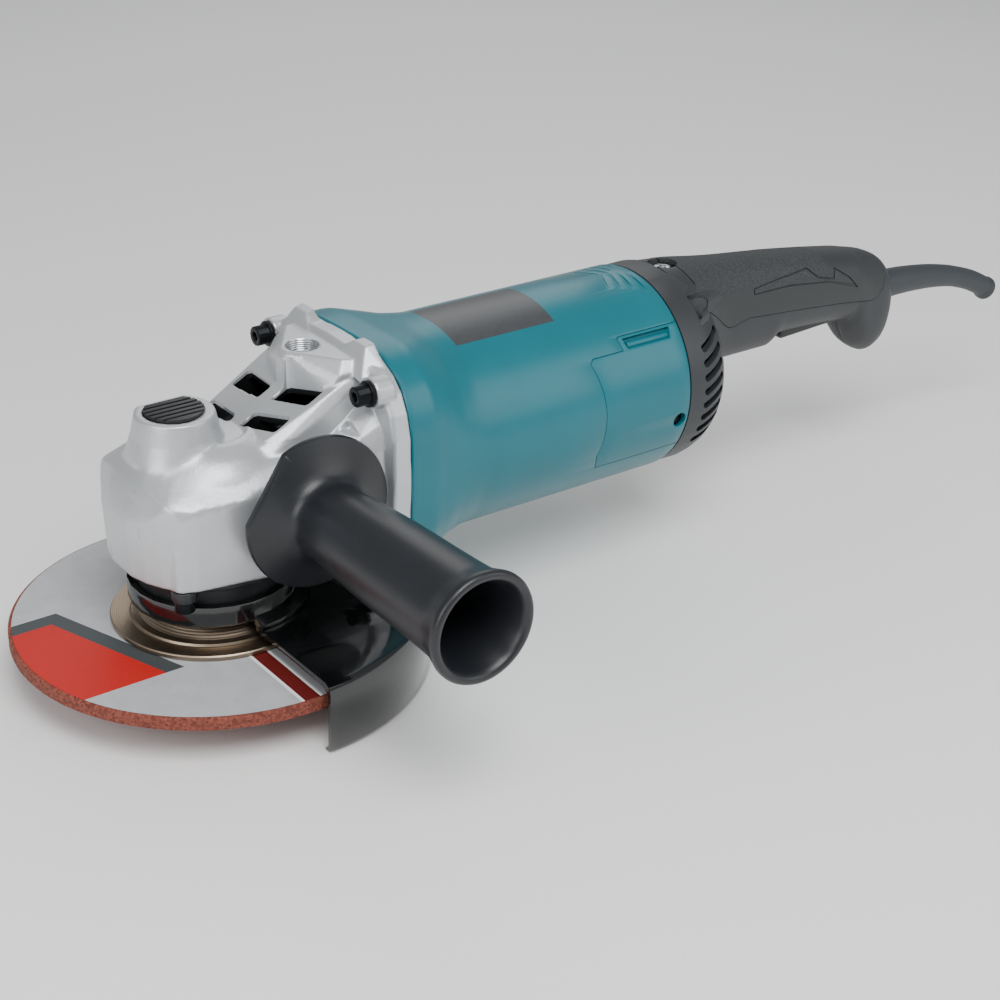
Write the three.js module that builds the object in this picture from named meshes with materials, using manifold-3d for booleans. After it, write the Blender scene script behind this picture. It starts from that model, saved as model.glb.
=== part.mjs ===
// Corded angle grinder for 180 mm wheels: a bevel-gear head, a barrel motor and a bar handle.
// Units are millimetres. +X runs from the spindle to the rear handle, +Z runs up along the spindle,
// the side handle points along -Y, and the origin is the middle of the spindle's lower end face.
import * as THREE from 'three';
import { ConvexGeometry } from 'three/addons/geometries/ConvexGeometry.js';
import { mergeVertices } from 'three/addons/utils/BufferGeometryUtils.js';
import Module from 'manifold-3d';

const wasm = await Module();
wasm.setup();

// ---------------------------------------------------------------- driving dimensions
const GAP = 0.3;                 // clearance between pieces that touch on the real tool
const RUN = 0.3;                 // radial clearance between a shaft and the bearing or hub on it

const WHEEL_RADIUS = 90;         // 180 mm depressed-centre grinding wheel
const WHEEL_THICKNESS = 6.4;
const WHEEL_BORE = 11.15;
const WHEEL_UNDERSIDE = 4.1;     // height of the wheel's lower face above the spindle's end
const HUB_RISE = 5;              // how far the wheel's middle is raised
const HUB_RADIUS = 27;
const FLANGE_RADIUS = 45.6;
const NUT_RADIUS = 20.5;

const SPINDLE_RADIUS = 7;        // M14 thread
const SPINDLE_BEARING = { inner: SPINDLE_RADIUS + 0.55, outer: 17.4, width: 11, z: 29.8 };
const BOX_RADIUS = 34;           // bearing box below the gear case
const BOX_BOTTOM = 22.5;

const GUARD_SHEET = 2.4;
const GUARD_CLEARANCE = 5.6;     // between the wheel's rim and the guard's skirt
const GUARD_TOP = 20;
const GUARD_DEPTH = 33;
const COLLAR_WALL = 2.6;

const UNDER_CLEARANCE = 2.6;     // between the guard and the motor above it
const RING_TEETH = 30;
const PINION_TEETH = 9;
const GEAR_MODULE = 2;
const TOOTH_FACE = 10;

const CASE_BOTTOM = 44;
const CASE_CAVITY = 35;
const CASE_HALF_WIDTH = 42;      // half-width of the head beside the spindle
const DECK_HALF_WIDTH = 29;      // the sloping deck with the air windows
const DECK_SLOPE = 0.53;
const SEAM_X = 70;               // joint between the gear case and the motor housing
const FLANGE_HALF = 55;          // half-width of the rounded-square motor flange

const BARREL_RADIUS = 51;
const BARREL_WALL = 3;
const BARREL_LENGTH = 165;
const CORE_LENGTH = 54;
const CORE_RADIUS = 26;
const AIR_GAP = 1;

const REAR_COVER_LENGTH = 33;
const HANDLE_LENGTH = 166;       // bar handle, from its front face inside the rear cover
const HANDLE_SKIN = 2.4;         // thickness of the soft grip
const HANDLE_WALL = 2.6;

const BOSS_X = 24.5;             // threaded bosses for the side handle
const BOSS_FACE = 49;
const BOSS_RADIUS = 12.5;
const THREAD_HOLE = 7.3;
const GRIP_LENGTH = 121;
const GRIP_RADIUS = 19;
const GRIP_FLANGE = 34.6;

const CORD_HOLE = 3.9;
const GUARD_BOOT_RADIUS = 8.2;

// ---------------------------------------------------------------- stations worked out from them
// The motor axis stands high enough for the barrel and its flange to clear the guard.
const AXIS_HEIGHT = GUARD_TOP + UNDER_CLEARANCE + Math.max(BARREL_RADIUS + 1.4, FLANGE_HALF - 2.6);
const wheelTop = WHEEL_UNDERSIDE + WHEEL_THICKNESS;
const hubTop = wheelTop + HUB_RISE;
const hubUnderside = WHEEL_UNDERSIDE + HUB_RISE;
const barrelEnd = SEAM_X + BARREL_LENGTH;
const rearCoverStart = barrelEnd + GAP;
const handleStart = barrelEnd + 15;
const coreStart = SEAM_X + 34;
const coreEnd = coreStart + CORE_LENGTH;
const commutatorStart = coreEnd + 12;
const brushX = commutatorStart + 9;
const rearBearingX = commutatorStart + 26;
const coverScrewX = barrelEnd - 6;
const barrelInner = BARREL_RADIUS - BARREL_WALL;

// ---------------------------------------------------------------- materials
function finish(color, roughness, metalness) {
  return new THREE.MeshStandardMaterial({ color, roughness, metalness });
}

const finishes = {
  casting: finish('#c9cdd0', 0.42, 0.9),
  housing: finish('#007f8b', 0.38, 0),
  darkPlastic: finish('#3f4346', 0.5, 0),
  softGrip: finish('#4b4f52', 0.75, 0),
  blackGrip: finish('#26282c', 0.6, 0),
  guardBlack: finish('#101214', 0.25, 0.4),
  blackScrew: finish('#17191b', 0.4, 0.6),
  steel: finish('#a8aaac', 0.3, 1),
  flangeSteel: finish('#a89a86', 0.35, 1),
  abrasive: finish('#8d5a4b', 0.95, 0),
  copper: finish('#a9612f', 0.35, 1),
  laminate: finish('#6f7276', 0.5, 0.9),
  carbon: finish('#222222', 0.8, 0),
  brass: finish('#b08d4a', 0.35, 1),
  rubber: finish('#303336', 0.85, 0),
};

// ---------------------------------------------------------------- solid helpers
function solid(geometry) {
  const bare = geometry.index ? geometry : geometry.clone();
  bare.deleteAttribute('normal');
  bare.deleteAttribute('uv');
  const merged = mergeVertices(bare, 1e-4);
  const mesh = new wasm.Mesh({
    numProp: 3,
    vertProperties: Float32Array.from(merged.attributes.position.array),
    triVerts: Uint32Array.from(merged.index.array),
  });
  return new wasm.Manifold(mesh);
}

function join(...parts) {
  return parts.reduce((sum, part) => sum.add(part));
}

function cut(body, ...tools) {
  return tools.reduce((rest, tool) => rest.subtract(tool), body);
}

function block(x0, x1, y0, y1, z0, z1) {
  const box = new THREE.BoxGeometry(x1 - x0, y1 - y0, z1 - z0);
  box.translate((x0 + x1) / 2, (y0 + y1) / 2, (z0 + z1) / 2);
  return solid(box);
}

// A profile of [radius, height] pairs turned about an upright axis. A profile that doesn't start
// on the axis closes on itself, which makes a ring.
function turnedGeometry(profile, segments) {
  const points = profile.map(([r, h]) => new THREE.Vector2(r, h));
  if (profile[0][0] > 0) points.push(points[0].clone());
  const lathe = new THREE.LatheGeometry(points, segments);
  lathe.rotateX(Math.PI / 2);
  return lathe;
}

function facing(geometry) {
  const turned = solid(geometry);
  if (turned.volume() > 0) return turned;
  const flipped = geometry.clone();
  const order = flipped.index.array;
  for (let i = 0; i < order.length; i += 3) {
    [order[i], order[i + 1]] = [order[i + 1], order[i]];
  }
  return solid(flipped);
}

function turned(profile, segments = 32, x = 0, y = 0, z = 0) {
  return facing(turnedGeometry(profile, segments).translate(x, y, z));
}

// The same about the motor axis, with heights measured along +X.
function turnedX(profile, segments = 32, y = 0, z = AXIS_HEIGHT) {
  const geometry = turnedGeometry(profile, segments);
  geometry.rotateY(Math.PI / 2);
  return facing(geometry.translate(0, y, z));
}

// The same about a line along Y, with heights measured along +Y.
function turnedY(profile, segments, x, z) {
  const geometry = turnedGeometry(profile, segments);
  geometry.rotateX(-Math.PI / 2);
  return facing(geometry.translate(x, 0, z));
}

function rod(radius, z0, z1, x = 0, y = 0, segments = 20) {
  return turned([[0, z0], [radius, z0], [radius, z1], [0, z1]], segments, x, y);
}

function rodX(radius, x0, x1, y = 0, z = AXIS_HEIGHT, segments = 20) {
  return turnedX([[0, x0], [radius, x0], [radius, x1], [0, x1]], segments, y, z);
}

function rodY(radius, y0, y1, x, z, segments = 20) {
  return turnedY([[0, y0], [radius, y0], [radius, y1], [0, y1]], segments, x, z);
}

function hull(points) {
  return solid(new ConvexGeometry(points.map(([x, y, z]) => new THREE.Vector3(x, y, z))));
}

// Mirrors a list of points across the tool's middle plane.
function bothSides(points) {
  return points.flatMap(([x, y, z]) => [[x, y, z], [x, -y, z]]);
}

// An outline of [x, z] pairs pushed from y0 to y1.
function sideOutline(points, y0, y1) {
  const shape = new THREE.Shape(points.map(([x, z]) => new THREE.Vector2(x, z)));
  const geometry = new THREE.ExtrudeGeometry(shape, { depth: y1 - y0, bevelEnabled: false });
  geometry.rotateX(Math.PI / 2);
  geometry.translate(0, y1, 0);
  return facing(mergeVertices(geometry));
}

// Skins a row of outlines that all have the same number of points, and closes both ends.
function loft(outlines) {
  const count = outlines[0].length;
  const positions = outlines.flat().flatMap((p) => [p.x, p.y, p.z]);
  const index = [];
  for (let row = 0; row < outlines.length - 1; row += 1) {
    for (let i = 0; i < count; i += 1) {
      const a = row * count + i;
      const b = row * count + (i + 1) % count;
      index.push(a, b, a + count, b, b + count, a + count);
    }
  }
  const last = (outlines.length - 1) * count;
  for (let i = 1; i < count - 1; i += 1) {
    index.push(0, i + 1, i);
    index.push(last, last + i, last + i + 1);
  }
  const geometry = new THREE.BufferGeometry();
  geometry.setAttribute('position', new THREE.Float32BufferAttribute(positions, 3));
  geometry.setIndex(index);
  return facing(geometry);
}

// A rounded outline across the tool: half-width, top and bottom, squareness 2 for an ellipse and
// more for a rounded rectangle.
function crossSection({ x, half, top, bottom, square = 2 }, inset = 0, count = 40) {
  const middle = (top + bottom) / 2;
  const rise = (top - bottom) / 2 - inset;
  const outline = [];
  for (let i = 0; i < count; i += 1) {
    const angle = (i / count) * 2 * Math.PI;
    const c = Math.cos(angle);
    const s = Math.sin(angle);
    const y = Math.sign(c) * Math.abs(c) ** (2 / square) * (half - inset);
    const z = middle + Math.sign(s) * Math.abs(s) ** (2 / square) * rise;
    outline.push(new THREE.Vector3(x, y, z));
  }
  return outline;
}

const grinder = new THREE.Group();
grinder.name = 'angle_grinder';

function piece(name, body, material) {
  const mesh = body.getMesh();
  const geometry = new THREE.BufferGeometry();
  geometry.setAttribute('position', new THREE.Float32BufferAttribute(mesh.vertProperties, 3));
  geometry.setIndex(Array.from(mesh.triVerts));
  geometry.computeVertexNormals();
  const node = new THREE.Mesh(geometry, material);
  node.name = name;
  grinder.add(node);
}

// ---------------------------------------------------------------- wheel, flange, nut, spindle
function makeWheel() {
  const edge = 0.8;
  return turned([
    [WHEEL_BORE, hubUnderside],
    [HUB_RADIUS, hubUnderside],
    [HUB_RADIUS + HUB_RISE, WHEEL_UNDERSIDE],
    [WHEEL_RADIUS - edge, WHEEL_UNDERSIDE],
    [WHEEL_RADIUS, WHEEL_UNDERSIDE + edge],
    [WHEEL_RADIUS, wheelTop - edge],
    [WHEEL_RADIUS - edge, wheelTop],
    [HUB_RADIUS + HUB_RISE - 2, wheelTop],
    [HUB_RADIUS - 2, hubTop],
    [WHEEL_BORE, hubTop],
  ], 28);
}

function makeInnerFlange() {
  const seat = wheelTop + GAP;
  const rim = seat + 2.4;
  const bore = SPINDLE_RADIUS + RUN;
  const plate = hubTop + GAP + 2.4;
  const pilot = WHEEL_BORE - 0.2;
  const inside = HUB_RADIUS + HUB_RISE - 0.5;
  return turned([
    [bore, hubUnderside + 1.3],
    [pilot, hubUnderside + 1.3],
    [pilot, hubTop + GAP],
    [inside - HUB_RISE, hubTop + GAP],
    [inside, seat],
    [FLANGE_RADIUS - 0.4, seat],
    [FLANGE_RADIUS, seat + 0.4],
    [FLANGE_RADIUS, rim - 0.4],
    [FLANGE_RADIUS - 0.4, rim],
    [FLANGE_RADIUS - 8.8, rim - 0.6],
    [FLANGE_RADIUS - 9.4, rim + 0.6],
    [inside + 1.5, rim + 0.7],
    [inside - 2.5, plate],
    [SPINDLE_RADIUS * 2, plate],
    [SPINDLE_RADIUS * 2, plate + 2.6],
    [bore, plate + 2.6],
  ], 26);
}

function makeLockNut() {
  const bore = SPINDLE_RADIUS + RUN;
  const top = hubUnderside - GAP;
  let nut = turned([
    [bore, 1.6],
    [NUT_RADIUS - 0.6, 1.6],
    [NUT_RADIUS, 2.2],
    [NUT_RADIUS, top - 3],
    [NUT_RADIUS - 4, top - 1.6],
    [NUT_RADIUS - 4, top],
    [bore, top],
  ], 20);
  const holes = 4;
  for (let i = 0; i < holes; i += 1) {
    const angle = (i + 0.5) * (2 * Math.PI / holes);
    const reach = NUT_RADIUS - 5.5;
    nut = nut.subtract(rod(2.2, 0, 5, reach * Math.cos(angle), reach * Math.sin(angle), 8));
  }
  return nut;
}

const bearingTop = SPINDLE_BEARING.z + SPINDLE_BEARING.width;
const ringPitch = GEAR_MODULE * RING_TEETH / 2;
const pinionPitch = GEAR_MODULE * PINION_TEETH / 2;
const ringBottom = AXIS_HEIGHT - pinionPitch - 12;
const ringHubTop = AXIS_HEIGHT - pinionPitch + 1;
const needle = { inner: 6.05, outer: 9.1, z0: AXIS_HEIGHT + 11.8, z1: AXIS_HEIGHT + 17.4 };

function makeSpindle() {
  const seat = SPINDLE_BEARING.inner - RUN;
  return turned([
    [0, 0],
    [SPINDLE_RADIUS - 0.8, 0],
    [SPINDLE_RADIUS, 0.8],
    [SPINDLE_RADIUS, hubTop + GAP + 5.4],
    [SPINDLE_RADIUS + 2.5, hubTop + GAP + 5.5],
    [SPINDLE_RADIUS + 2.5, SPINDLE_BEARING.z - 0.4],
    [seat, SPINDLE_BEARING.z - 0.3],
    [seat, bearingTop + 0.3],
    [seat + 1.2, bearingTop + 0.4],
    [seat + 1.2, ringBottom - 0.4],
    [SPINDLE_RADIUS, ringBottom - 0.3],
    [SPINDLE_RADIUS, ringHubTop + 0.4],
    [needle.inner - RUN, ringHubTop + 0.5],
    [needle.inner - RUN, needle.z1 + 0.5],
    [0, needle.z1 + 0.5],
  ], 12);
}

// A ball bearing as one ring between z0 and z1, with its shield set back at one side.
function bearingProfile(inner, outer, z0, z1) {
  const rib = (outer - inner) * 0.25;
  return [
    [inner, z0], [outer, z0], [outer, z1], [outer - rib, z1], [outer - rib, z1 - 0.6],
    [inner + rib, z1 - 0.6], [inner + rib, z1], [inner, z1],
  ];
}

// ---------------------------------------------------------------- bevel gears
// The pitch cones meet at the crossing of the spindle and the motor axis.
const coneLength = Math.hypot(ringPitch, pinionPitch);
const ringCone = Math.atan2(ringPitch, pinionPitch);
const pinionCone = Math.atan2(pinionPitch, ringPitch);
const ADDENDUM = 0.75 * GEAR_MODULE;
const DEDENDUM = GEAR_MODULE;

// Points on a gear of the given pitch cone: distance along the cone, height above the pitch
// surface and sideways offset, turned to an angle about the gear's own axis.
function toothPoint(cone, distance, height, offset, angle) {
  const radius = distance * Math.sin(cone) + height * Math.cos(cone);
  const axial = distance * Math.cos(cone) - height * Math.sin(cone);
  const turn = angle + offset / radius;
  return [radius * Math.cos(turn), radius * Math.sin(turn), axial];
}

function toothCorners(cone, angle) {
  const thickness = 0.5 * Math.PI * GEAR_MODULE * 0.8;
  const ends = [coneLength, coneLength - TOOTH_FACE];
  return ends.flatMap((distance) => {
    const scale = distance / coneLength;
    const rows = [[-DEDENDUM - 0.3, 0.72], [ADDENDUM, 0.26]];
    return rows.flatMap(([height, share]) => [-share, share].map((side) => (
      toothPoint(cone, distance, height * scale, side * thickness * scale, angle)
    )));
  });
}

function makeRingGear() {
  const root = (distance) => toothPoint(ringCone, distance, -DEDENDUM * distance / coneLength, 0, 0);
  const outer = root(coneLength + 0.6);
  const inner = root(coneLength - TOOTH_FACE - 0.5);
  const bore = SPINDLE_RADIUS + RUN;
  const face = AXIS_HEIGHT - inner[2] - 3.3;
  let gear = turned([
    [bore, ringBottom],
    [SPINDLE_RADIUS * 2, ringBottom],
    [outer[0] + 0.5, AXIS_HEIGHT - outer[2] - 4],
    [outer[0] + 0.5, AXIS_HEIGHT - outer[2]],
    [inner[0], AXIS_HEIGHT - inner[2]],
    [inner[0] - 0.6, face],
    [SPINDLE_RADIUS + 4, face],
    [SPINDLE_RADIUS + 4, ringHubTop],
    [bore, ringHubTop],
  ], RING_TEETH);
  for (let i = 0; i < RING_TEETH; i += 1) {
    const corners = toothCorners(ringCone, (i + 0.5) * 2 * Math.PI / RING_TEETH);
    gear = gear.add(hull(corners.map(([x, y, z]) => [x, y, AXIS_HEIGHT - z])));
  }
  for (let i = 0; i < LOCK_HOLES; i += 1) {
    const angle = i * 2 * Math.PI / LOCK_HOLES;
    const x = -LOCK_PIN_X * Math.cos(angle);
    const y = -LOCK_PIN_X * Math.sin(angle);
    gear = gear.subtract(rod(LOCK_PIN_RADIUS + 0.6, face - 5, face + 1, x, y, 8));
  }
  return { gear, face };
}

function makePinion() {
  const root = (distance) => toothPoint(pinionCone, distance, -DEDENDUM * distance / coneLength, 0, 0);
  const outer = root(coneLength);
  const inner = root(coneLength - TOOTH_FACE);
  let gear = turnedX([
    [3.4, inner[2]],
    [inner[0], inner[2]],
    [outer[0], outer[2]],
    [outer[0], outer[2] + 0.8],
    [3.4, outer[2] + 0.8],
  ], 12);
  for (let i = 0; i < PINION_TEETH; i += 1) {
    const corners = toothCorners(pinionCone, i * 2 * Math.PI / PINION_TEETH);
    gear = gear.add(hull(corners.map(([x, y, z]) => [z, y, AXIS_HEIGHT - x])));
  }
  return { gear, end: outer[2] + 0.8 };
}

// ---------------------------------------------------------------- spindle lock
const LOCK_PIN_X = 15.5;         // distance of the lock pin ahead of the spindle
const LOCK_PIN_RADIUS = 2.2;
const LOCK_HOLES = 6;
const LOCK_TRAVEL = 4.5;
const BUTTON_TOP = AXIS_HEIGHT + 37.5;
const BUTTON_RADIUS = 13;
const BUTTON_FLAT = 9;           // the button's straight edge lies this far to the left
const BUTTON_THICKNESS = 5.5;
const SPRING_RADIUS = 4.2;

const { gear: ringGear, face: ringFace } = makeRingGear();
const { gear: pinionGear, end: pinionEnd } = makePinion();
const pinTip = ringFace + 1.6;
const buttonFloor = BUTTON_TOP - BUTTON_THICKNESS - LOCK_TRAVEL - 1;
const springFloor = buttonFloor - 8;

function buttonShape(radius, flat, z0, z1) {
  const disc = rod(radius, z0, z1, -LOCK_PIN_X + 1.5, 0, 18);
  return disc.intersect(block(-60, 40, -40, flat, z0 - 1, z1 + 1));
}

function makeLockButton() {
  const z0 = BUTTON_TOP - BUTTON_THICKNESS;
  let button = buttonShape(BUTTON_RADIUS, BUTTON_FLAT, z0, BUTTON_TOP);
  const ribs = 5;
  for (let i = 0; i < ribs; i += 1) {
    const y = BUTTON_FLAT - 3.4 - i * 3.6;
    button = button.subtract(block(-60, 40, y - 0.7, y + 0.7, BUTTON_TOP - 0.8, BUTTON_TOP + 1));
  }
  return button;
}

function makeLockSpring() {
  const turns = 3;
  const wire = 0.7;
  const bottom = springFloor + wire + GAP;
  const top = BUTTON_TOP - BUTTON_THICKNESS - wire - GAP;
  const steps = turns * 9;
  const rows = [];
  for (let i = 0; i <= steps; i += 1) {
    const share = i / steps;
    const angle = share * turns * 2 * Math.PI;
    const centre = new THREE.Vector3(
      -LOCK_PIN_X + SPRING_RADIUS * Math.cos(angle),
      SPRING_RADIUS * Math.sin(angle),
      bottom + (top - bottom) * share,
    );
    const outward = new THREE.Vector3(Math.cos(angle), Math.sin(angle), 0);
    rows.push(ringOfPoints(centre, outward, new THREE.Vector3(0, 0, 1), wire, 5));
  }
  return loft(rows);
}

function ringOfPoints(centre, across, up, radius, count) {
  return Array.from({ length: count }, (_, i) => {
    const angle = i * 2 * Math.PI / count;
    return centre.clone()
      .addScaledVector(across, radius * Math.cos(angle))
      .addScaledVector(up, radius * Math.sin(angle));
  });
}

// ---------------------------------------------------------------- gear case and bearing box
const CORNER = { x: 29, y: 29.5, radius: 5.6 };
const FLANGE_SCREW = { y: 41.5, z: 42, radius: 4.6 };
const deckFront = 4;
const deckRear = SEAM_X - 22;
const padTop = AXIS_HEIGHT + 52;
const padX = 49.3;
const PEAK_TOP = AXIS_HEIGHT + 58.5;
const flangeFront = SEAM_X - 9;

function deckHeight(x) {
  return AXIS_HEIGHT + 34.5 + DECK_SLOPE * (x - 35);
}

function caseOutside() {
  const wide = CASE_HALF_WIDTH;
  const low = CASE_BOTTOM;
  const shoulder = AXIS_HEIGHT;
  const skirt = hull(bothSides([
    [-43, 8, low], [-40.5, 18, low], [-36.5, 26, low], [-31, 34, low], [-26, 36.5, low],
    [4, wide - 0.5, low], [40, wide + 4, low],
    [-44.5, 8, shoulder - 3], [-42, 18, shoulder - 2.5], [-38.8, 25, shoulder - 1.5],
    [-31.6, 35.2, shoulder + 1.5], [-24, 37.5, shoulder + 6.5], [4, wide, shoulder + 8.5],
    [40, wide + 4, shoulder + 9], [-38.5, 12, shoulder + 13], [-35.5, 30.5, shoulder + 8],
    [-33, 10, shoulder + 18], [-27, 20, shoulder + 17], [-17, 29, shoulder + 15],
    [6, 33, shoulder + 16], [40, 34, shoulder + 19],
  ]));
  const dome = turned([
    [0, shoulder], [36.5, shoulder], [35.5, shoulder + 10], [31.5, shoulder + 16],
    [24.5, shoulder + 20.5], [14, shoulder + 23.5], [0, shoulder + 24.5],
  ], 26);
  const corners = bothSides([[-CORNER.x, CORNER.y, 0], [CORNER.x, CORNER.y, 0]]).map(([x, y]) => (
    turned([
      [0, low], [CORNER.radius, low], [CORNER.radius, shoulder - 12],
      [CORNER.radius - 3, shoulder - 7], [0, shoulder - 5],
    ], 12, x, y)
  ));
  const lock = turned([
    [0, AXIS_HEIGHT + 12], [22.5, AXIS_HEIGHT + 17], [19, AXIS_HEIGHT + 27],
    [17, BUTTON_TOP - 1.2], [0, BUTTON_TOP - 1.2],
  ], 18, -LOCK_PIN_X + 1.5, 0).intersect(block(-60, 60, -60, BUTTON_FLAT + 4, 0, 200));
  const half = DECK_HALF_WIDTH;
  const deck = hull(bothSides([
    [deckFront, half - 6, deckHeight(deckFront)], [deckFront, half, deckHeight(deckFront) - 6],
    [deckRear, half - 1, deckHeight(deckRear)], [deckRear, half + 2, deckHeight(deckRear) - 6],
    [deckFront, half, AXIS_HEIGHT], [SEAM_X - 6, half + 4, AXIS_HEIGHT],
    [SEAM_X - 6, half + 2, AXIS_HEIGHT + 40], [SEAM_X - 6, half, AXIS_HEIGHT + 48],
  ]));
  const pad = hull(bothSides([
    [37, 3, AXIS_HEIGHT + 36], [37.5, 2, padTop - 3], [39.5, 2, padTop],
    [46, half - 3, AXIS_HEIGHT + 39], [51, half - 2, padTop - 6], [55, half - 5, padTop],
    [SEAM_X - 5, half + 1, padTop - 4], [SEAM_X - 5, half - 3, padTop], [SEAM_X - 5, 2, AXIS_HEIGHT],
  ]));
  const plate = loft([
    crossSection({ x: flangeFront, half: FLANGE_HALF - 1.2, ...flangeSpan(-1.2), square: 3.2 }, 0, 28),
    crossSection({ x: flangeFront + 1.2, half: FLANGE_HALF, ...flangeSpan(0), square: 3.2 }, 0, 28),
    crossSection({ x: SEAM_X - GAP / 2, half: FLANGE_HALF, ...flangeSpan(0), square: 3.2 }, 0, 28),
  ]);
  const neck = loft([
    crossSection({ x: 38, half: CASE_HALF_WIDTH, top: AXIS_HEIGHT + 20, bottom: low, square: 4 }, 0, 22),
    crossSection({ x: 51, half: 46, top: AXIS_HEIGHT + 32, bottom: 38, square: 3.4 }, 0, 22),
    crossSection({ x: SEAM_X - 4, half: 50, top: AXIS_HEIGHT + 46, bottom: 26.5, square: 3 }, 0, 22),
  ]);
  const bosses = bothSides([[BOSS_X, 1, 0]]).map(([x, side]) => {
    const y0 = side > 0 ? 30 : -BOSS_FACE;
    const y1 = side > 0 ? BOSS_FACE : -30;
    return rodY(BOSS_RADIUS, y0, y1, x, AXIS_HEIGHT - 1, 16);
  });
  const screwPosts = flangeScrewPlaces().map(([y, z]) => (
    rodX(FLANGE_SCREW.radius + 2.6, flangeFront - 4, SEAM_X - 4, y, z, 12)
  ));
  const peaks = [-1, 1].map((side) => hull([
    [58, side * 8, padTop - 3], [56, side * 36, padTop - 8], [SEAM_X - 1, side * 8, padTop - 2],
    [SEAM_X - 1, side * 40, padTop - 6], [SEAM_X - 7, side * 19, PEAK_TOP - 1],
    [SEAM_X - 7, side * 29, PEAK_TOP - 1], [SEAM_X - 2, side * 21, PEAK_TOP],
    [SEAM_X - 2, side * 29, PEAK_TOP],
  ]));
  return join(skirt, dome, ...corners, lock, deck, pad, ...peaks, plate, neck, ...bosses, ...screwPosts);
}

function flangeSpan(grow) {
  return { top: AXIS_HEIGHT + FLANGE_HALF + grow, bottom: AXIS_HEIGHT - FLANGE_HALF + 2.6 - grow };
}

function flangeScrewPlaces() {
  const { y, z } = FLANGE_SCREW;
  return [[-y, AXIS_HEIGHT + z], [y, AXIS_HEIGHT + z], [-y, AXIS_HEIGHT - z], [y, AXIS_HEIGHT - z]];
}

const caseScrewPlaces = bothSides([[-CORNER.x, CORNER.y, 0], [CORNER.x, CORNER.y, 0]]);

const FRONT_BEARING = { inner: 6.05, outer: 16, x0: 37.3, x1: 47.3 };

// A window through the deck between its front and rear edges, which are given as [x near the
// middle, x at the outer end]; the windows lean the same way on both sides.
function deckWindow(side, front, rear) {
  const inner = 4;
  const outer = DECK_HALF_WIDTH - 5.5;
  const corners = [
    [front[0], inner], [rear[0] - 1.5, inner], [rear[0], inner + 1.5], [rear[1], outer - 1.5],
    [rear[1] - 1.5, outer], [front[1] + 1, outer], [front[1], outer - 1],
  ];
  const shape = new THREE.Shape(corners.map(([px, py]) => new THREE.Vector2(px, side * py)));
  const geometry = new THREE.ExtrudeGeometry(shape, { depth: 40, bevelEnabled: false });
  geometry.translate(0, 0, deckHeight(front[0]) - 20);
  return facing(mergeVertices(geometry));
}

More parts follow.
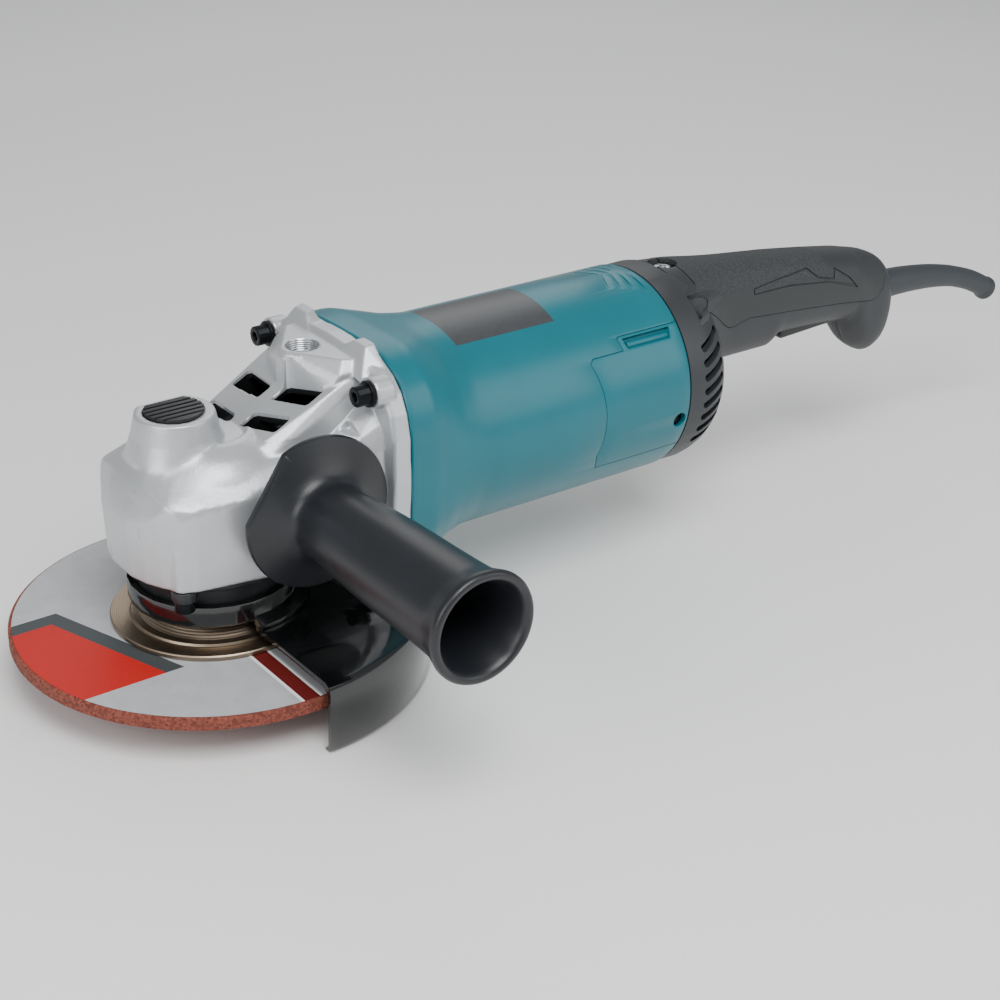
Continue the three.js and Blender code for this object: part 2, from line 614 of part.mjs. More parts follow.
function makeGearCase() {
  const low = CASE_BOTTOM;
  const roof = AXIS_HEIGHT + 11.5;
  const gears = turned([
    [0, low - 1], [CASE_CAVITY, low - 1], [CASE_CAVITY, roof - 10], [CASE_CAVITY - 5, roof], [0, roof],
  ], 22);
  const needlePocket = rod(needle.outer + RUN, roof - 1, needle.z1 + 0.9, 0, 0, 16);
  const shaftHole = rodX(11.2, 25, FRONT_BEARING.x0 + 1, 0, AXIS_HEIGHT, 12);
  const bearingPocket = rodX(FRONT_BEARING.outer + RUN, FRONT_BEARING.x0 - GAP, 55, 0, AXIS_HEIGHT, 16);
  const retainerPocket = rodX(21.4, FRONT_BEARING.x1 + GAP, 55, 0, AXIS_HEIGHT, 16);
  const fanMouth = turnedX([[0, 50], [26, 50], [42, SEAM_X - 8], [47, SEAM_X + 1], [0, SEAM_X + 1]], 20);
  const ductHalf = DECK_HALF_WIDTH - 5;
  const duct = hull(bothSides([
    [10.5, ductHalf, AXIS_HEIGHT + 15], [10.5, ductHalf, deckHeight(10.5) - 4],
    [deckRear, ductHalf, deckHeight(deckRear) - 4], [SEAM_X - 12, ductHalf, deckHeight(deckRear) - 4],
    [SEAM_X - 12, ductHalf, AXIS_HEIGHT + 22], [40, ductHalf, AXIS_HEIGHT + 22],
  ]));
  const windows = [
    deckWindow(-1, [15.2, 20.6], [21.6, 27]), deckWindow(-1, [31, 36.6], [37, 42.6]),
    deckWindow(1, [12.4, 11.6], [17.4, 17.4]), deckWindow(1, [28.6, 27.2], [36, 36.4]),
  ];
  const sideThreads = [
    rodY(THREAD_HOLE, -BOSS_FACE - 1, -31, BOSS_X, AXIS_HEIGHT - 1, 14),
    rodY(THREAD_HOLE, 31, BOSS_FACE + 1, BOSS_X, AXIS_HEIGHT - 1, 14),
  ];
  const topThread = rod(THREAD_HOLE, padTop - 15, padTop + 1, padX, 0, 14);
  const threadPost = rod(THREAD_HOLE + 4, padTop - 17, padTop - 1, padX, 0, 10);
  const buttonHole = buttonShape(BUTTON_RADIUS + 0.5, BUTTON_FLAT + 0.5, buttonFloor, BUTTON_TOP + 2);
  const springPocket = rod(SPRING_RADIUS + 1.4, springFloor, BUTTON_TOP, -LOCK_PIN_X, 0, 12);
  const pinHole = rod(LOCK_PIN_RADIUS + 0.25, roof - 5, BUTTON_TOP, -LOCK_PIN_X, 0, 12);
  const screwHoles = flangeScrewPlaces().flatMap(([y, z]) => [
    rodX(2.7, flangeFront - 8, SEAM_X + 1, y, z, 8),
    rodX(FLANGE_SCREW.radius + 1.8, 30, flangeFront - 3.6, y, z, 14),
  ]);
  const boxScrewHoles = caseScrewPlaces.map(([x, y]) => rod(2.45, low - 1, low + 16, x, y, 8));
  const sideRecess = [-1, 1].map((side) => hull([
    [16, side * (DECK_HALF_WIDTH + 3), AXIS_HEIGHT + 24], [52, side * (DECK_HALF_WIDTH + 4), AXIS_HEIGHT + 24],
    [50, side * (DECK_HALF_WIDTH + 3), AXIS_HEIGHT + 44], [16, side * (DECK_HALF_WIDTH + 14), AXIS_HEIGHT + 24],
    [53, side * (DECK_HALF_WIDTH + 18), AXIS_HEIGHT + 22], [50, side * (DECK_HALF_WIDTH + 14), AXIS_HEIGHT + 46],
  ]));
  const outside = cut(caseOutside(), ...sideRecess);
  const shell = cut(outside, gears, needlePocket, shaftHole, bearingPocket, retainerPocket, fanMouth, duct);
  return cut(shell.add(threadPost), ...windows, ...sideThreads, topThread, buttonHole, springPocket,
    pinHole, ...screwHoles, ...boxScrewHoles);
}

function makeBearingBox() {
  const bearing = SPINDLE_BEARING;
  const top = CASE_BOTTOM - GAP;
  const plateBottom = top - 5;
  const body = turned([
    [SPINDLE_RADIUS + 2.9, BOX_BOTTOM],
    [BOX_RADIUS - 1.5, BOX_BOTTOM],
    [BOX_RADIUS, BOX_BOTTOM + 1.5],
    [BOX_RADIUS, plateBottom],
    [BOX_RADIUS + 3, plateBottom + 1.5],
    [BOX_RADIUS + 3, top],
    [bearing.outer + RUN, top],
    [bearing.outer + RUN, bearing.z - 0.2],
    [SPINDLE_RADIUS + 2.9, bearing.z - 0.2],
  ], 24);
  const ears = caseScrewPlaces.map(([x, y]) => rod(5.6, plateBottom, top, x, y, 12));
  const holes = caseScrewPlaces.map(([x, y]) => rod(2.45, plateBottom - 1, top + 1, x, y, 8));
  return cut(join(body, ...ears), ...holes);
}

// A socket-head screw standing on z0 with its head below, for the bearing box.
function makeBoxScrew([x, y]) {
  const seat = CASE_BOTTOM - GAP - 5 - GAP;
  const screw = turned([
    [0, seat - 5], [4.4, seat - 5], [4.4, seat], [2.2, seat],
    [2.2, CASE_BOTTOM + 14], [0, CASE_BOTTOM + 14],
  ], 12, x, y);
  return screw.subtract(rod(2, seat - 6, seat - 2, x, y, 6));
}

// A socket-head screw along +X with a washer, holding the gear case to the motor housing.
function makeFlangeScrew([y, z]) {
  const seat = flangeFront - 4 - GAP;
  const screw = turnedX([
    [0, seat - 7.2], [FLANGE_SCREW.radius, seat - 7.2],
    [FLANGE_SCREW.radius, seat - 1.5], [FLANGE_SCREW.radius + 1.4, seat - 1.5],
    [FLANGE_SCREW.radius + 1.4, seat], [2.4, seat], [2.4, SEAM_X + 14], [0, SEAM_X + 14],
  ], 12, y, z);
  return screw.subtract(rodX(2.3, seat - 8, seat - 3.6, y, z, 6));
}

// ---------------------------------------------------------------- wheel guard
const guardInside = WHEEL_RADIUS + GUARD_CLEARANCE;
const guardOutside = guardInside + GUARD_SHEET;
const collarInside = BOX_RADIUS + 0.7;
const collarOutside = collarInside + COLLAR_WALL;

// The part of a solid between two angles about the spindle, which lie less than a turn apart.
function sector(body, from, to) {
  const reach = 3 * guardOutside;
  const steps = 8;
  const outline = [new THREE.Vector2(0, 0)];
  for (let i = 0; i <= steps; i += 1) {
    const angle = THREE.MathUtils.degToRad(from + (to - from) * i / steps);
    outline.push(new THREE.Vector2(reach * Math.cos(angle), reach * Math.sin(angle)));
  }
  const depth = 400;
  const geometry = new THREE.ExtrudeGeometry(new THREE.Shape(outline), { depth, bevelEnabled: false });
  geometry.translate(0, 0, -depth / 2);
  return body.intersect(facing(mergeVertices(geometry)));
}

function makeGuard() {
  const bottom = GUARD_TOP - GUARD_DEPTH;
  const round = 2.2;
  const shell = turned([
    [collarOutside + GAP, GUARD_TOP - GUARD_SHEET],
    [guardInside - round, GUARD_TOP - GUARD_SHEET],
    [guardInside, GUARD_TOP - GUARD_SHEET - round],
    [guardInside, bottom + 3],
    [guardInside - 3, bottom + 0.9],
    [guardInside - 2, bottom],
    [guardOutside, bottom + 2],
    [guardOutside, GUARD_TOP - round],
    [guardOutside - round, GUARD_TOP],
    [collarOutside + GAP, GUARD_TOP],
  ], 40);
  return sector(shell, -90, 90);
}

const CLAMP = { angle: 96, z: GUARD_TOP + 8, gap: 3, ear: 4, reach: 6 };

// The clamp band round the bearing box's neck, split at its two ears, and its foot on the guard.
function makeCollar() {
  const top = GUARD_TOP + 12;
  const band = turned([
    [collarInside, GUARD_TOP - GUARD_SHEET + 5],
    [collarOutside, GUARD_TOP - GUARD_SHEET + 5],
    [collarOutside, top],
    [collarInside, top],
  ], 26);
  const ears = [-1, 1].map((side) => {
    const y0 = side > 0 ? CLAMP.gap : -CLAMP.gap - CLAMP.ear;
    return block(collarInside + 1, collarOutside + 11, y0, y0 + CLAMP.ear, GUARD_TOP + 3, top);
  });
  const hole = rodY(2.5, -20, 20, collarOutside + CLAMP.reach, CLAMP.z, 10);
  const split = THREE.MathUtils.radToDeg(Math.atan2(CLAMP.gap, collarInside)) + 0.4;
  const clamp = cut(join(sector(band, split, 360 - split), ...ears), hole);
  const foot = turned([
    [collarOutside - 1, GUARD_TOP + GAP],
    [collarOutside + 6, GUARD_TOP + GAP],
    [collarOutside + 6, GUARD_TOP + GAP + 2],
    [collarOutside - 1, GUARD_TOP + 5],
  ], 26);
  return join(clamp.rotate([0, 0, CLAMP.angle]), sector(foot, -90, 90));
}

function makeClampScrew() {
  const reach = CLAMP.gap + CLAMP.ear;
  const screw = turnedY([
    [0, -reach - 5], [4, -reach - 5], [4, -reach - GAP], [2.2, -reach - GAP], [2.2, reach + 3], [0, reach + 3],
  ], 12, collarOutside + CLAMP.reach, CLAMP.z);
  return screw.rotate([0, 0, CLAMP.angle]);
}

// ---------------------------------------------------------------- motor
function makeMotorShell(inset) {
  const rows = [
    [SEAM_X + (inset ? -1 : GAP / 2), FLANGE_HALF, 0, 3.2],
    [SEAM_X + 9, FLANGE_HALF, 0, 3.2],
    [SEAM_X + 20, FLANGE_HALF - 1.6, 0.3, 2.8],
    [SEAM_X + 34, BARREL_RADIUS + 0.8, 1, 2.2],
    [SEAM_X + 48, BARREL_RADIUS, 1, 2],
    [barrelEnd - 2, BARREL_RADIUS, 1, 2],
    [barrelEnd + (inset ? 1 : 0), BARREL_RADIUS - (inset ? 0 : 1), 1, 2],
  ];
  return loft(rows.map(([x, half, blend, square]) => {
    const top = AXIS_HEIGHT + half;
    const bottom = AXIS_HEIGHT - half + 2.6 * (1 - blend);
    return crossSection({ x, half, top, bottom, square }, inset, 32);
  }));
}

const COVER = { front: barrelEnd - 57, bottom: AXIS_HEIGHT - 25, top: AXIS_HEIGHT + 32 };

// The side cover's outline, seen from the side: it steps up near its rear end.
function coverRegion(side, gap) {
  const outline = [
    [COVER.front - gap, COVER.bottom - gap],
    [barrelEnd + 5, COVER.bottom - gap],
    [barrelEnd + 5, COVER.top + 3 + gap],
    [COVER.front + 20 - gap, COVER.top + 3 + gap],
    [COVER.front + 18 - gap, COVER.top + gap],
    [COVER.front - gap, COVER.top + gap],
    [COVER.front + 5 - gap, (COVER.top + COVER.bottom) / 2],
  ];
  const y0 = side > 0 ? 20 : -80;
  return sideOutline(outline, y0, y0 + 60);
}

function makeMotorHousing() {
  const shell = makeMotorShell(0).subtract(makeMotorShell(BARREL_WALL));
  const hub = turnedX([
    [REAR_BEARING.outer + RUN, rearBearingX - 2], [REAR_BEARING.outer + 3.4, rearBearingX - 2],
    [REAR_BEARING.outer + 3.4, rearBearingX + 9], [REAR_BEARING.outer + RUN, rearBearingX + 9],
  ], 16);
  const arms = [
    block(rearBearingX + 2, rearBearingX + 8, -4, 4, AXIS_HEIGHT + REAR_BEARING.outer + 2, AXIS_HEIGHT + barrelInner + 1),
    block(rearBearingX + 2, rearBearingX + 8, -4, 4, AXIS_HEIGHT - barrelInner - 1, AXIS_HEIGHT - REAR_BEARING.outer - 2),
  ];
  const posts = flangeScrewPlaces().map(([y, z]) => rodX(5.2, SEAM_X + GAP / 2, SEAM_X + 16, y, z, 12));
  const inside = makeMotorShell(0);
  const held = join(...posts).intersect(inside);
  const groove = [-1, 1].map((side) => sideOutline([
    [COVER.front + 16, COVER.top + 7], [barrelEnd - 8, COVER.top + 7],
    [barrelEnd - 8, COVER.top + 11], [COVER.front + 16, COVER.top + 11],
  ], side > 0 ? 20 : -80, side > 0 ? 80 : -20).subtract(makeMotorShell(1.2)));
  const holes = flangeScrewPlaces().map(([y, z]) => rodX(2.7, SEAM_X - 1, SEAM_X + 15, y, z, 8));
  const openings = [-1, 1].map((side) => coverRegion(side, GAP));
  return cut(join(shell, hub, ...arms, held), ...openings, ...groove, ...holes);
}

const REAR_BEARING = { inner: 4.55, outer: 11 };

function makeSideCover(side) {
  const shell = makeMotorShell(0).subtract(makeMotorShell(BARREL_WALL));
  const panel = shell.intersect(coverRegion(side, 0));
  const y0 = side > 0 ? barrelInner - 9 : -BARREL_RADIUS - 2;
  const y1 = side > 0 ? BARREL_RADIUS + 2 : -barrelInner + 9;
  const post = rodY(6, y0, y1, coverScrewX, AXIS_HEIGHT - 10, 12).intersect(makeMotorShell(1));
  const deep = side > 0 ? [barrelInner - 3, BARREL_RADIUS + 3] : [-BARREL_RADIUS - 3, -barrelInner + 3];
  const head = rodY(3.6, deep[0], deep[1], coverScrewX, AXIS_HEIGHT - 10, 10);
  const hole = rodY(1.9, -80, 80, coverScrewX, AXIS_HEIGHT - 10, 8);
  return cut(join(panel, post), head, hole);
}

function makeCoverScrew(side) {
  const seat = barrelInner - 3 + GAP;
  const profile = [
    [0, seat - 16], [1.6, seat - 16], [1.6, seat], [3.3, seat], [3.3, seat + 2], [0, seat + 2.4],
  ];
  if (side > 0) return turnedY(profile, 12, coverScrewX, AXIS_HEIGHT - 10);
  const mirrored = profile.map(([r, y]) => [r, -y]).reverse();
  return turnedY(mirrored, 12, coverScrewX, AXIS_HEIGHT - 10);
}

function makeArmatureShaft() {
  return turnedX([
    [0, pinionEnd - 10], [3.2, pinionEnd - 10], [3.2, pinionEnd + 0.2],
    [FRONT_BEARING.inner - RUN, pinionEnd + 0.3], [FRONT_BEARING.inner - RUN, rearBearingX - 1],
    [REAR_BEARING.inner - RUN, rearBearingX - 0.9], [REAR_BEARING.inner - RUN, rearBearingX + 10],
    [0, rearBearingX + 10],
  ], 12);
}

const shaftBore = FRONT_BEARING.inner;

function makeArmatureCore() {
  const slots = 12;
  const outline = [];
  for (let i = 0; i < slots; i += 1) {
    const middle = i * 2 * Math.PI / slots;
    const step = Math.PI / slots;
    const corners = [[CORE_RADIUS, -0.8], [CORE_RADIUS, 0], [CORE_RADIUS, 0.8], [CORE_RADIUS - 6, 0.8],
      [CORE_RADIUS - 6, 1.2]];
    corners.forEach(([r, share]) => {
      outline.push(new THREE.Vector2(r * Math.cos(middle + share * step), r * Math.sin(middle + share * step)));
    });
  }
  const shape = new THREE.Shape(outline);
  const geometry = new THREE.ExtrudeGeometry(shape, { depth: CORE_LENGTH, bevelEnabled: false });
  geometry.rotateY(Math.PI / 2);
  geometry.translate(coreStart, 0, AXIS_HEIGHT);
  return facing(mergeVertices(geometry)).subtract(rodX(shaftBore, coreStart - 1, coreEnd + 1, 0, AXIS_HEIGHT, 12));
}

function makeEndTurns(x0, x1) {
  const outer = CORE_RADIUS - 4;
  return turnedX([
    [shaftBore + 3, x0], [outer - 3, x0], [outer, x0 + 3], [outer, x1 - 2], [outer - 2, x1], [shaftBore + 3, x1],
  ], 14);
}

function makeCommutator() {
  const radius = 14;
  const x = commutatorStart;
  return turnedX([
    [shaftBore, x], [radius + 2, x], [radius + 2, x + 2.5], [radius, x + 3], [radius, x + 18],
    [shaftBore, x + 18],
  ], 18);
}

const FAN = { x0: SEAM_X + 5, x1: SEAM_X + 19, radius: 42 };

function makeFan() {
  const blades = 11;
  const disc = turnedX([
    [shaftBore, FAN.x0], [11, FAN.x0], [14, FAN.x1 - 4], [FAN.radius, FAN.x1 - 2.4], [FAN.radius, FAN.x1],
    [shaftBore, FAN.x1],
  ], 20);
  const parts = [disc];
  for (let i = 0; i < blades; i += 1) {
    const blade = block(FAN.x0 + 2, FAN.x1 - 1, 18, FAN.radius - 0.6, -0.9, 0.9);
    const leaned = blade.translate([0, -18, 0]).rotate([28, 0, 0]).translate([0, 18, 0]);
    parts.push(leaned.rotate([i * 360 / blades, 0, 0]).translate([0, 0, AXIS_HEIGHT]));
  }
  const limit = rodX(FAN.radius, FAN.x0, FAN.x1, 0, AXIS_HEIGHT, 22);
  return join(...parts).intersect(limit);
}

function makeBaffle() {
  const x = FAN.x1 + 4;
  const edge = makeMotorShell(BARREL_WALL + GAP).intersect(block(x, x + 2.4, -90, 90, -20, 200));
  return edge.subtract(rodX(CORE_RADIUS + 6, x - 1, x + 5, 0, AXIS_HEIGHT, 22));
}

const fieldBore = CORE_RADIUS + AIR_GAP;
const poleHalf = CORE_RADIUS - 3;

function makeFieldCore() {
  const outer = barrelInner - GAP;
  const yoke = fieldBore + 10.5;
  const ring = turnedX([[yoke, coreStart], [outer, coreStart], [outer, coreEnd], [yoke, coreEnd]], 28);
  const poles = turnedX([
    [fieldBore, coreStart], [yoke + 0.5, coreStart], [yoke + 0.5, coreEnd], [fieldBore, coreEnd],
  ], 28).intersect(block(coreStart - 1, coreEnd + 1, -poleHalf, poleHalf, -60, 200));
  return join(ring, poles);
}

function makeFieldCoil(side) {
  const inner = fieldBore + 1.6;
  const outer = fieldBore + 10;
  const tube = turnedX([
    [inner, coreStart - 7], [outer, coreStart - 7], [outer, coreEnd + 7], [inner, coreEnd + 7],
  ], 26);
  const half = side > 0
    ? block(0, 400, -90, 90, AXIS_HEIGHT + 1, 300)
    : block(0, 400, -90, 90, -150, AXIS_HEIGHT - 1);
  const pole = block(coreStart - 0.5, coreEnd + 0.5, -poleHalf - 0.5, poleHalf + 0.5, -150, 300);
  return tube.intersect(half).subtract(pole);
}

function makeBrush(side) {
  const near = 14.4;
  const far = near + 18;
  const y0 = side > 0 ? near : -far;
  return block(brushX - 4, brushX + 4, y0, y0 + 18, AXIS_HEIGHT - 3, AXIS_HEIGHT + 3);
}

function makeBrushHolder(side) {
  const near = 17.5;
  const far = barrelInner - 6;
  const y0 = side > 0 ? near : -far;
  const y1 = side > 0 ? far : -near;
  const body = block(brushX - 7, brushX + 7, y0, y1, AXIS_HEIGHT - 6, AXIS_HEIGHT + 6);
  const tunnel = block(brushX - 4.3, brushX + 4.3, y0 - 1, y1 + 1, AXIS_HEIGHT - 3.3, AXIS_HEIGHT + 3.3);
  return body.subtract(tunnel);
}

// ---------------------------------------------------------------- rear cover and bar handle
// Cross-sections of the bar handle, measured from its front face.
const HANDLE_ROWS = [
  { along: 0, top: 50, bottom: -13, half: 33, square: 2.2 },
  { along: 9, top: 49.6, bottom: -10, half: 28.5, square: 2.3 },
  { along: 17, top: 49, bottom: -8, half: 24.5, square: 2.4 },
  { along: 28, top: 47.5, bottom: -8, half: 20.5, square: 2.5 },
  { along: 42, top: 45.5, bottom: -8, half: 18.7, square: 2.6 },
  { along: 72, top: 42, bottom: -8, half: 18.5, square: 2.6 },
  { along: 80, top: 41, bottom: -2.5, half: 18.5, square: 2.6 },
  { along: 133, top: 33, bottom: -5, half: 18, square: 2.6 },
  { along: 138, top: 32, bottom: -14, half: 17.7, square: 2.5 },
  { along: 145, top: 30.5, bottom: -24, half: 17, square: 2.5 },
  { along: 153, top: 28, bottom: -28.3, half: 16.5, square: 2.4 },
  { along: 159, top: 24.5, bottom: -26, half: 15.5, square: 2.4 },
  { along: 163.5, top: 19, bottom: -18, half: 13, square: 2.3 },
  { along: 166, top: 13, bottom: -9, half: 9.5, square: 2.2 },
];
const handleScale = HANDLE_LENGTH / 166;

// The handle's body, shrunk by an inset and reaching forward of its front face by a lead.
function handleSolid(inset, lead = 1) {
  const lastRow = HANDLE_ROWS.length - 1;
  const rows = HANDLE_ROWS.map((row, i) => crossSection({
    x: handleStart + row.along * handleScale - (i === lastRow ? inset : 0),
    half: row.half,
    top: AXIS_HEIGHT + row.top,
    bottom: AXIS_HEIGHT + row.bottom,
    square: row.square,
  }, i >= lastRow - 1 ? 0.75 * inset : inset, 20));
  if (lead > 0) rows.unshift(rows[0].map((p) => new THREE.Vector3(p.x - lead, p.y, p.z)));
  return loft(rows);
}

// The soft grip covers this part of the handle, seen from the side.
function gripRegion(gap) {
  const x = (along) => handleStart + along * handleScale;
  const z = (up) => AXIS_HEIGHT + up;
  return sideOutline([
    [x(2) - gap, z(70)], [x(12) - gap, z(43)], [x(7) - gap, z(38)], [x(14), z(32) - gap],
    [x(27), z(23) - gap], [x(39), z(14) - gap], [x(50), z(17.5) - gap], [x(95), z(13) - gap],
    [x(144), z(7) - gap], [x(153) + gap, z(11) - gap], [x(158) + gap, z(19)], [x(160) + gap, z(70)],
  ], -60, 60);
}

const TRIGGER = { x0: 83, x1: 131, half: 11, bottom: -5.2, top: 4 };
const triggerX0 = handleStart + TRIGGER.x0 * handleScale;
const triggerX1 = handleStart + TRIGGER.x1 * handleScale;
const cordZ = AXIS_HEIGHT + 5.5;
const NECK_SCREW = { x: handleStart + 6.5, floor: AXIS_HEIGHT + 44.8, head: 5.4, recess: 7.4 };
const handleEnd = handleStart + HANDLE_LENGTH;
const handlePosts = [[handleStart + 48 * handleScale, AXIS_HEIGHT + 2], [handleEnd - 26, AXIS_HEIGHT - 12]];

// The round recess on top of the handle's neck, which also nicks the soft grip.
function neckRecess() {
  return rod(NECK_SCREW.recess, NECK_SCREW.floor, NECK_SCREW.floor + 14, NECK_SCREW.x, 0, 18);
}

function makeNeckScrew() {
  const { x, floor, head } = NECK_SCREW;
  const screw = turned([
    [0, floor - 6], [2.2, floor - 6], [2.2, floor + GAP], [head, floor + GAP],
    [head, floor + 1.6], [head - 1.4, floor + 2.8], [0, floor + 3.2],
  ], 14, x, 0);
  const slots = [block(x - 3, x + 3, -0.7, 0.7, floor + 1.4, floor + 5),
    block(x - 0.7, x + 0.7, -3, 3, floor + 1.4, floor + 5)];
  return cut(screw, ...slots);
}

function handleBody() {
  const outer = handleSolid(0, 0);
  const core = handleSolid(HANDLE_SKIN + GAP);
  const hollow = handleSolid(HANDLE_SKIN + HANDLE_WALL, 3);
  const posts = handlePosts.map(([x, z]) => rodY(4.8, -30, 30, x, z, 10).intersect(outer));
  const slot = block(triggerX0 - 1, triggerX1 + 1.5, -TRIGGER.half - 0.6, TRIGGER.half + 0.6,
    AXIS_HEIGHT - 20, AXIS_HEIGHT + 9);
  const bootHole = rodX(GUARD_BOOT_RADIUS + GAP + 0.2, handleEnd - 12, handleEnd + 4, 0, cordZ, 12);
  const collarRoom = rodX(GUARD_BOOT_RADIUS + 2.8, handleEnd - 16, handleEnd - 7.4, 0, cordZ, 12);
  const { x: neckX, floor } = NECK_SCREW;
  const neckBoss = rod(NECK_SCREW.recess + 2, floor - 7, floor + 1, neckX, 0, 18).intersect(outer);
  const neckHole = rod(2.5, floor - 8, floor + 1, neckX, 0, 10);
  const shell = join(outer.subtract(gripRegion(GAP)), core).subtract(hollow);
  return cut(join(shell, ...posts, neckBoss), slot, bootHole, collarRoom, neckRecess(), neckHole);
}

function makeHandleHalf(side) {
  const reach = side > 0 ? [GAP / 2, 60] : [-60, -GAP / 2];
  const half = handleBody().intersect(block(0, 600, reach[0], reach[1], -50, 250));
  const screwHoles = handlePosts.map(([x, z]) => rodY(1.9, -40, 40, x, z, 8));
  const headHoles = handlePosts.map(([x, z]) => rodY(3.6, 11, 40, x, z, 12));
  return cut(half, ...screwHoles, ...headHoles);
}

function makeHandleScrew([x, z]) {
  return turnedY([
    [0, -10], [1.6, -10], [1.6, 11 + GAP], [3.3, 11 + GAP], [3.3, 13.2], [0, 13.8],
  ], 12, x, z);
}

function makeSoftGrip() {
  const skin = handleSolid(0, 0).subtract(handleSolid(HANDLE_SKIN));
  return skin.intersect(gripRegion(0)).subtract(neckRecess());
}

function makeTrigger() {
  const z0 = AXIS_HEIGHT + TRIGGER.bottom;
  const z1 = AXIS_HEIGHT + TRIGGER.top;
  const side = TRIGGER.half;
  const x1 = triggerX1;
  const x0 = triggerX0;
  return hull([-side, side].flatMap((y) => [
    [x0, y, z0 + 2], [x0 + 2, y * 0.8, z0], [x0 + 2, y, z0 + 1.4], [x0, y, z1], [x1, y, z1],
    [x1, y, z0 + 3.2], [x1 - 4, y * 0.8, z0 + 2], [x1 - 4, y, z0 + 3],
  ]));
}

function makeSwitch() {
  const z0 = AXIS_HEIGHT + 10.5;
  const x0 = handleStart + 62 * handleScale;
  const x1 = handleStart + 106 * handleScale;
  const body = block(x0, x1, -9, 9, z0, z0 + 17);
  const cap = block(x0 + 4, x1 - 4, -7.5, 7.5, z0 + 16, z0 + 20);
  return join(body, cap);
}

const REAR_SLOTS = 8;
const SLOT_PITCH = 7;

function makeRearCover() {
  const x = (along) => rearCoverStart + along;
  const r = BARREL_RADIUS;
  const cover = turnedX([
    [0, x(30)], [36 - 2.6, x(30)], [41.4, x(26)], [46, x(19)], [47.4, x(12)], [47.6, x(0)],
    [r - 0.6, x(0)], [r - 0.4, x(12)], [r - 2.4, x(20)], [r - 7.6, x(27.5)],
    [36, x(REAR_COVER_LENGTH - 0.8)], [0, x(REAR_COVER_LENGTH)],
  ], 32);
  const opening = handleSolid(-GAP - 0.2, 6);
  const passage = hull(bothSides([
    [x(-4), 26, AXIS_HEIGHT + 30], [x(-4), 26, AXIS_HEIGHT - 4],
    [handleStart + 20, 14, AXIS_HEIGHT + 30], [handleStart + 20, 14, AXIS_HEIGHT],
  ]));
  const slots = [-1, 1].flatMap((side) => Array.from({ length: REAR_SLOTS }, (_, i) => {
    const height = AXIS_HEIGHT + 24.2 - i * SLOT_PITCH;
    const bar = block(-7.8, 7.8, side > 0 ? 20 : -70, side > 0 ? 70 : -20, -1.8, 1.8);
    return bar.rotate([0, -22, 0]).translate([x(16.5), 0, height]);
  }));
  const notches = [-1, 1].map((side) => hull([18, 60].flatMap((y) => [
    [x(13.5), side * y, AXIS_HEIGHT + 31], [x(13.5), side * y, AXIS_HEIGHT + 43],
    [x(40), side * y, AXIS_HEIGHT + 33], [x(40), side * y, AXIS_HEIGHT + 46],
  ])));
  return cut(cover, opening, passage, ...slots, ...notches);
}

// ---------------------------------------------------------------- cord guard
function cordGuardPath() {
  return new THREE.CatmullRomCurve3([
    [-13, 5.5], [0, 5.5], [14, 5.2], [34, 3.6], [54, 0.4], [72, -4.8], [84, -10], [92.5, -15],
  ].map(([along, up]) => new THREE.Vector3(handleEnd + along, 0, AXIS_HEIGHT + up)));
}

function alongPath(path, radiusAt, from, to, steps, count) {
  const side = new THREE.Vector3(0, 1, 0);
  const rows = [];
  for (let i = 0; i <= steps; i += 1) {
    const share = from + (to - from) * i / steps;
    const centre = path.getPointAt(Math.min(Math.max(share, 0), 1));
    const ahead = path.getTangentAt(Math.min(Math.max(share, 0), 1));
    if (share < 0 || share > 1) centre.addScaledVector(ahead, share < 0 ? -2 : 2);
    const up = new THREE.Vector3().crossVectors(ahead, side).normalize();
    rows.push(ringOfPoints(centre, side, up, radiusAt(share), count));
  }
  return loft(rows);
}

function makeCordGuard() {
  const path = cordGuardPath();
  const taper = (share) => GUARD_BOOT_RADIUS - 2.3 * Math.min(1, Math.max(0, (share - 0.12) / 0.6));
  const boot = alongPath(path, taper, 0, 1, 9, 12);
  const collar = rodX(GUARD_BOOT_RADIUS + 2.2, handleEnd - 15, handleEnd - 8, 0, cordZ, 12);
  const rim = alongPath(path, () => GUARD_BOOT_RADIUS - 1.5, 0.975, 1, 1, 12);
  const bore = alongPath(path, () => CORD_HOLE, -0.02, 1.02, 9, 8);
  return join(boot, collar, rim).subtract(bore);
}

function makeCordClamp() {
  const x = handleEnd - 30;
  const bar = block(x, x + 6, -9.5, 9.5, cordZ - 6, cordZ + 6);
  return bar.subtract(rodX(CORD_HOLE + 0.1, x - 1, x + 7, 0, cordZ, 8));
}

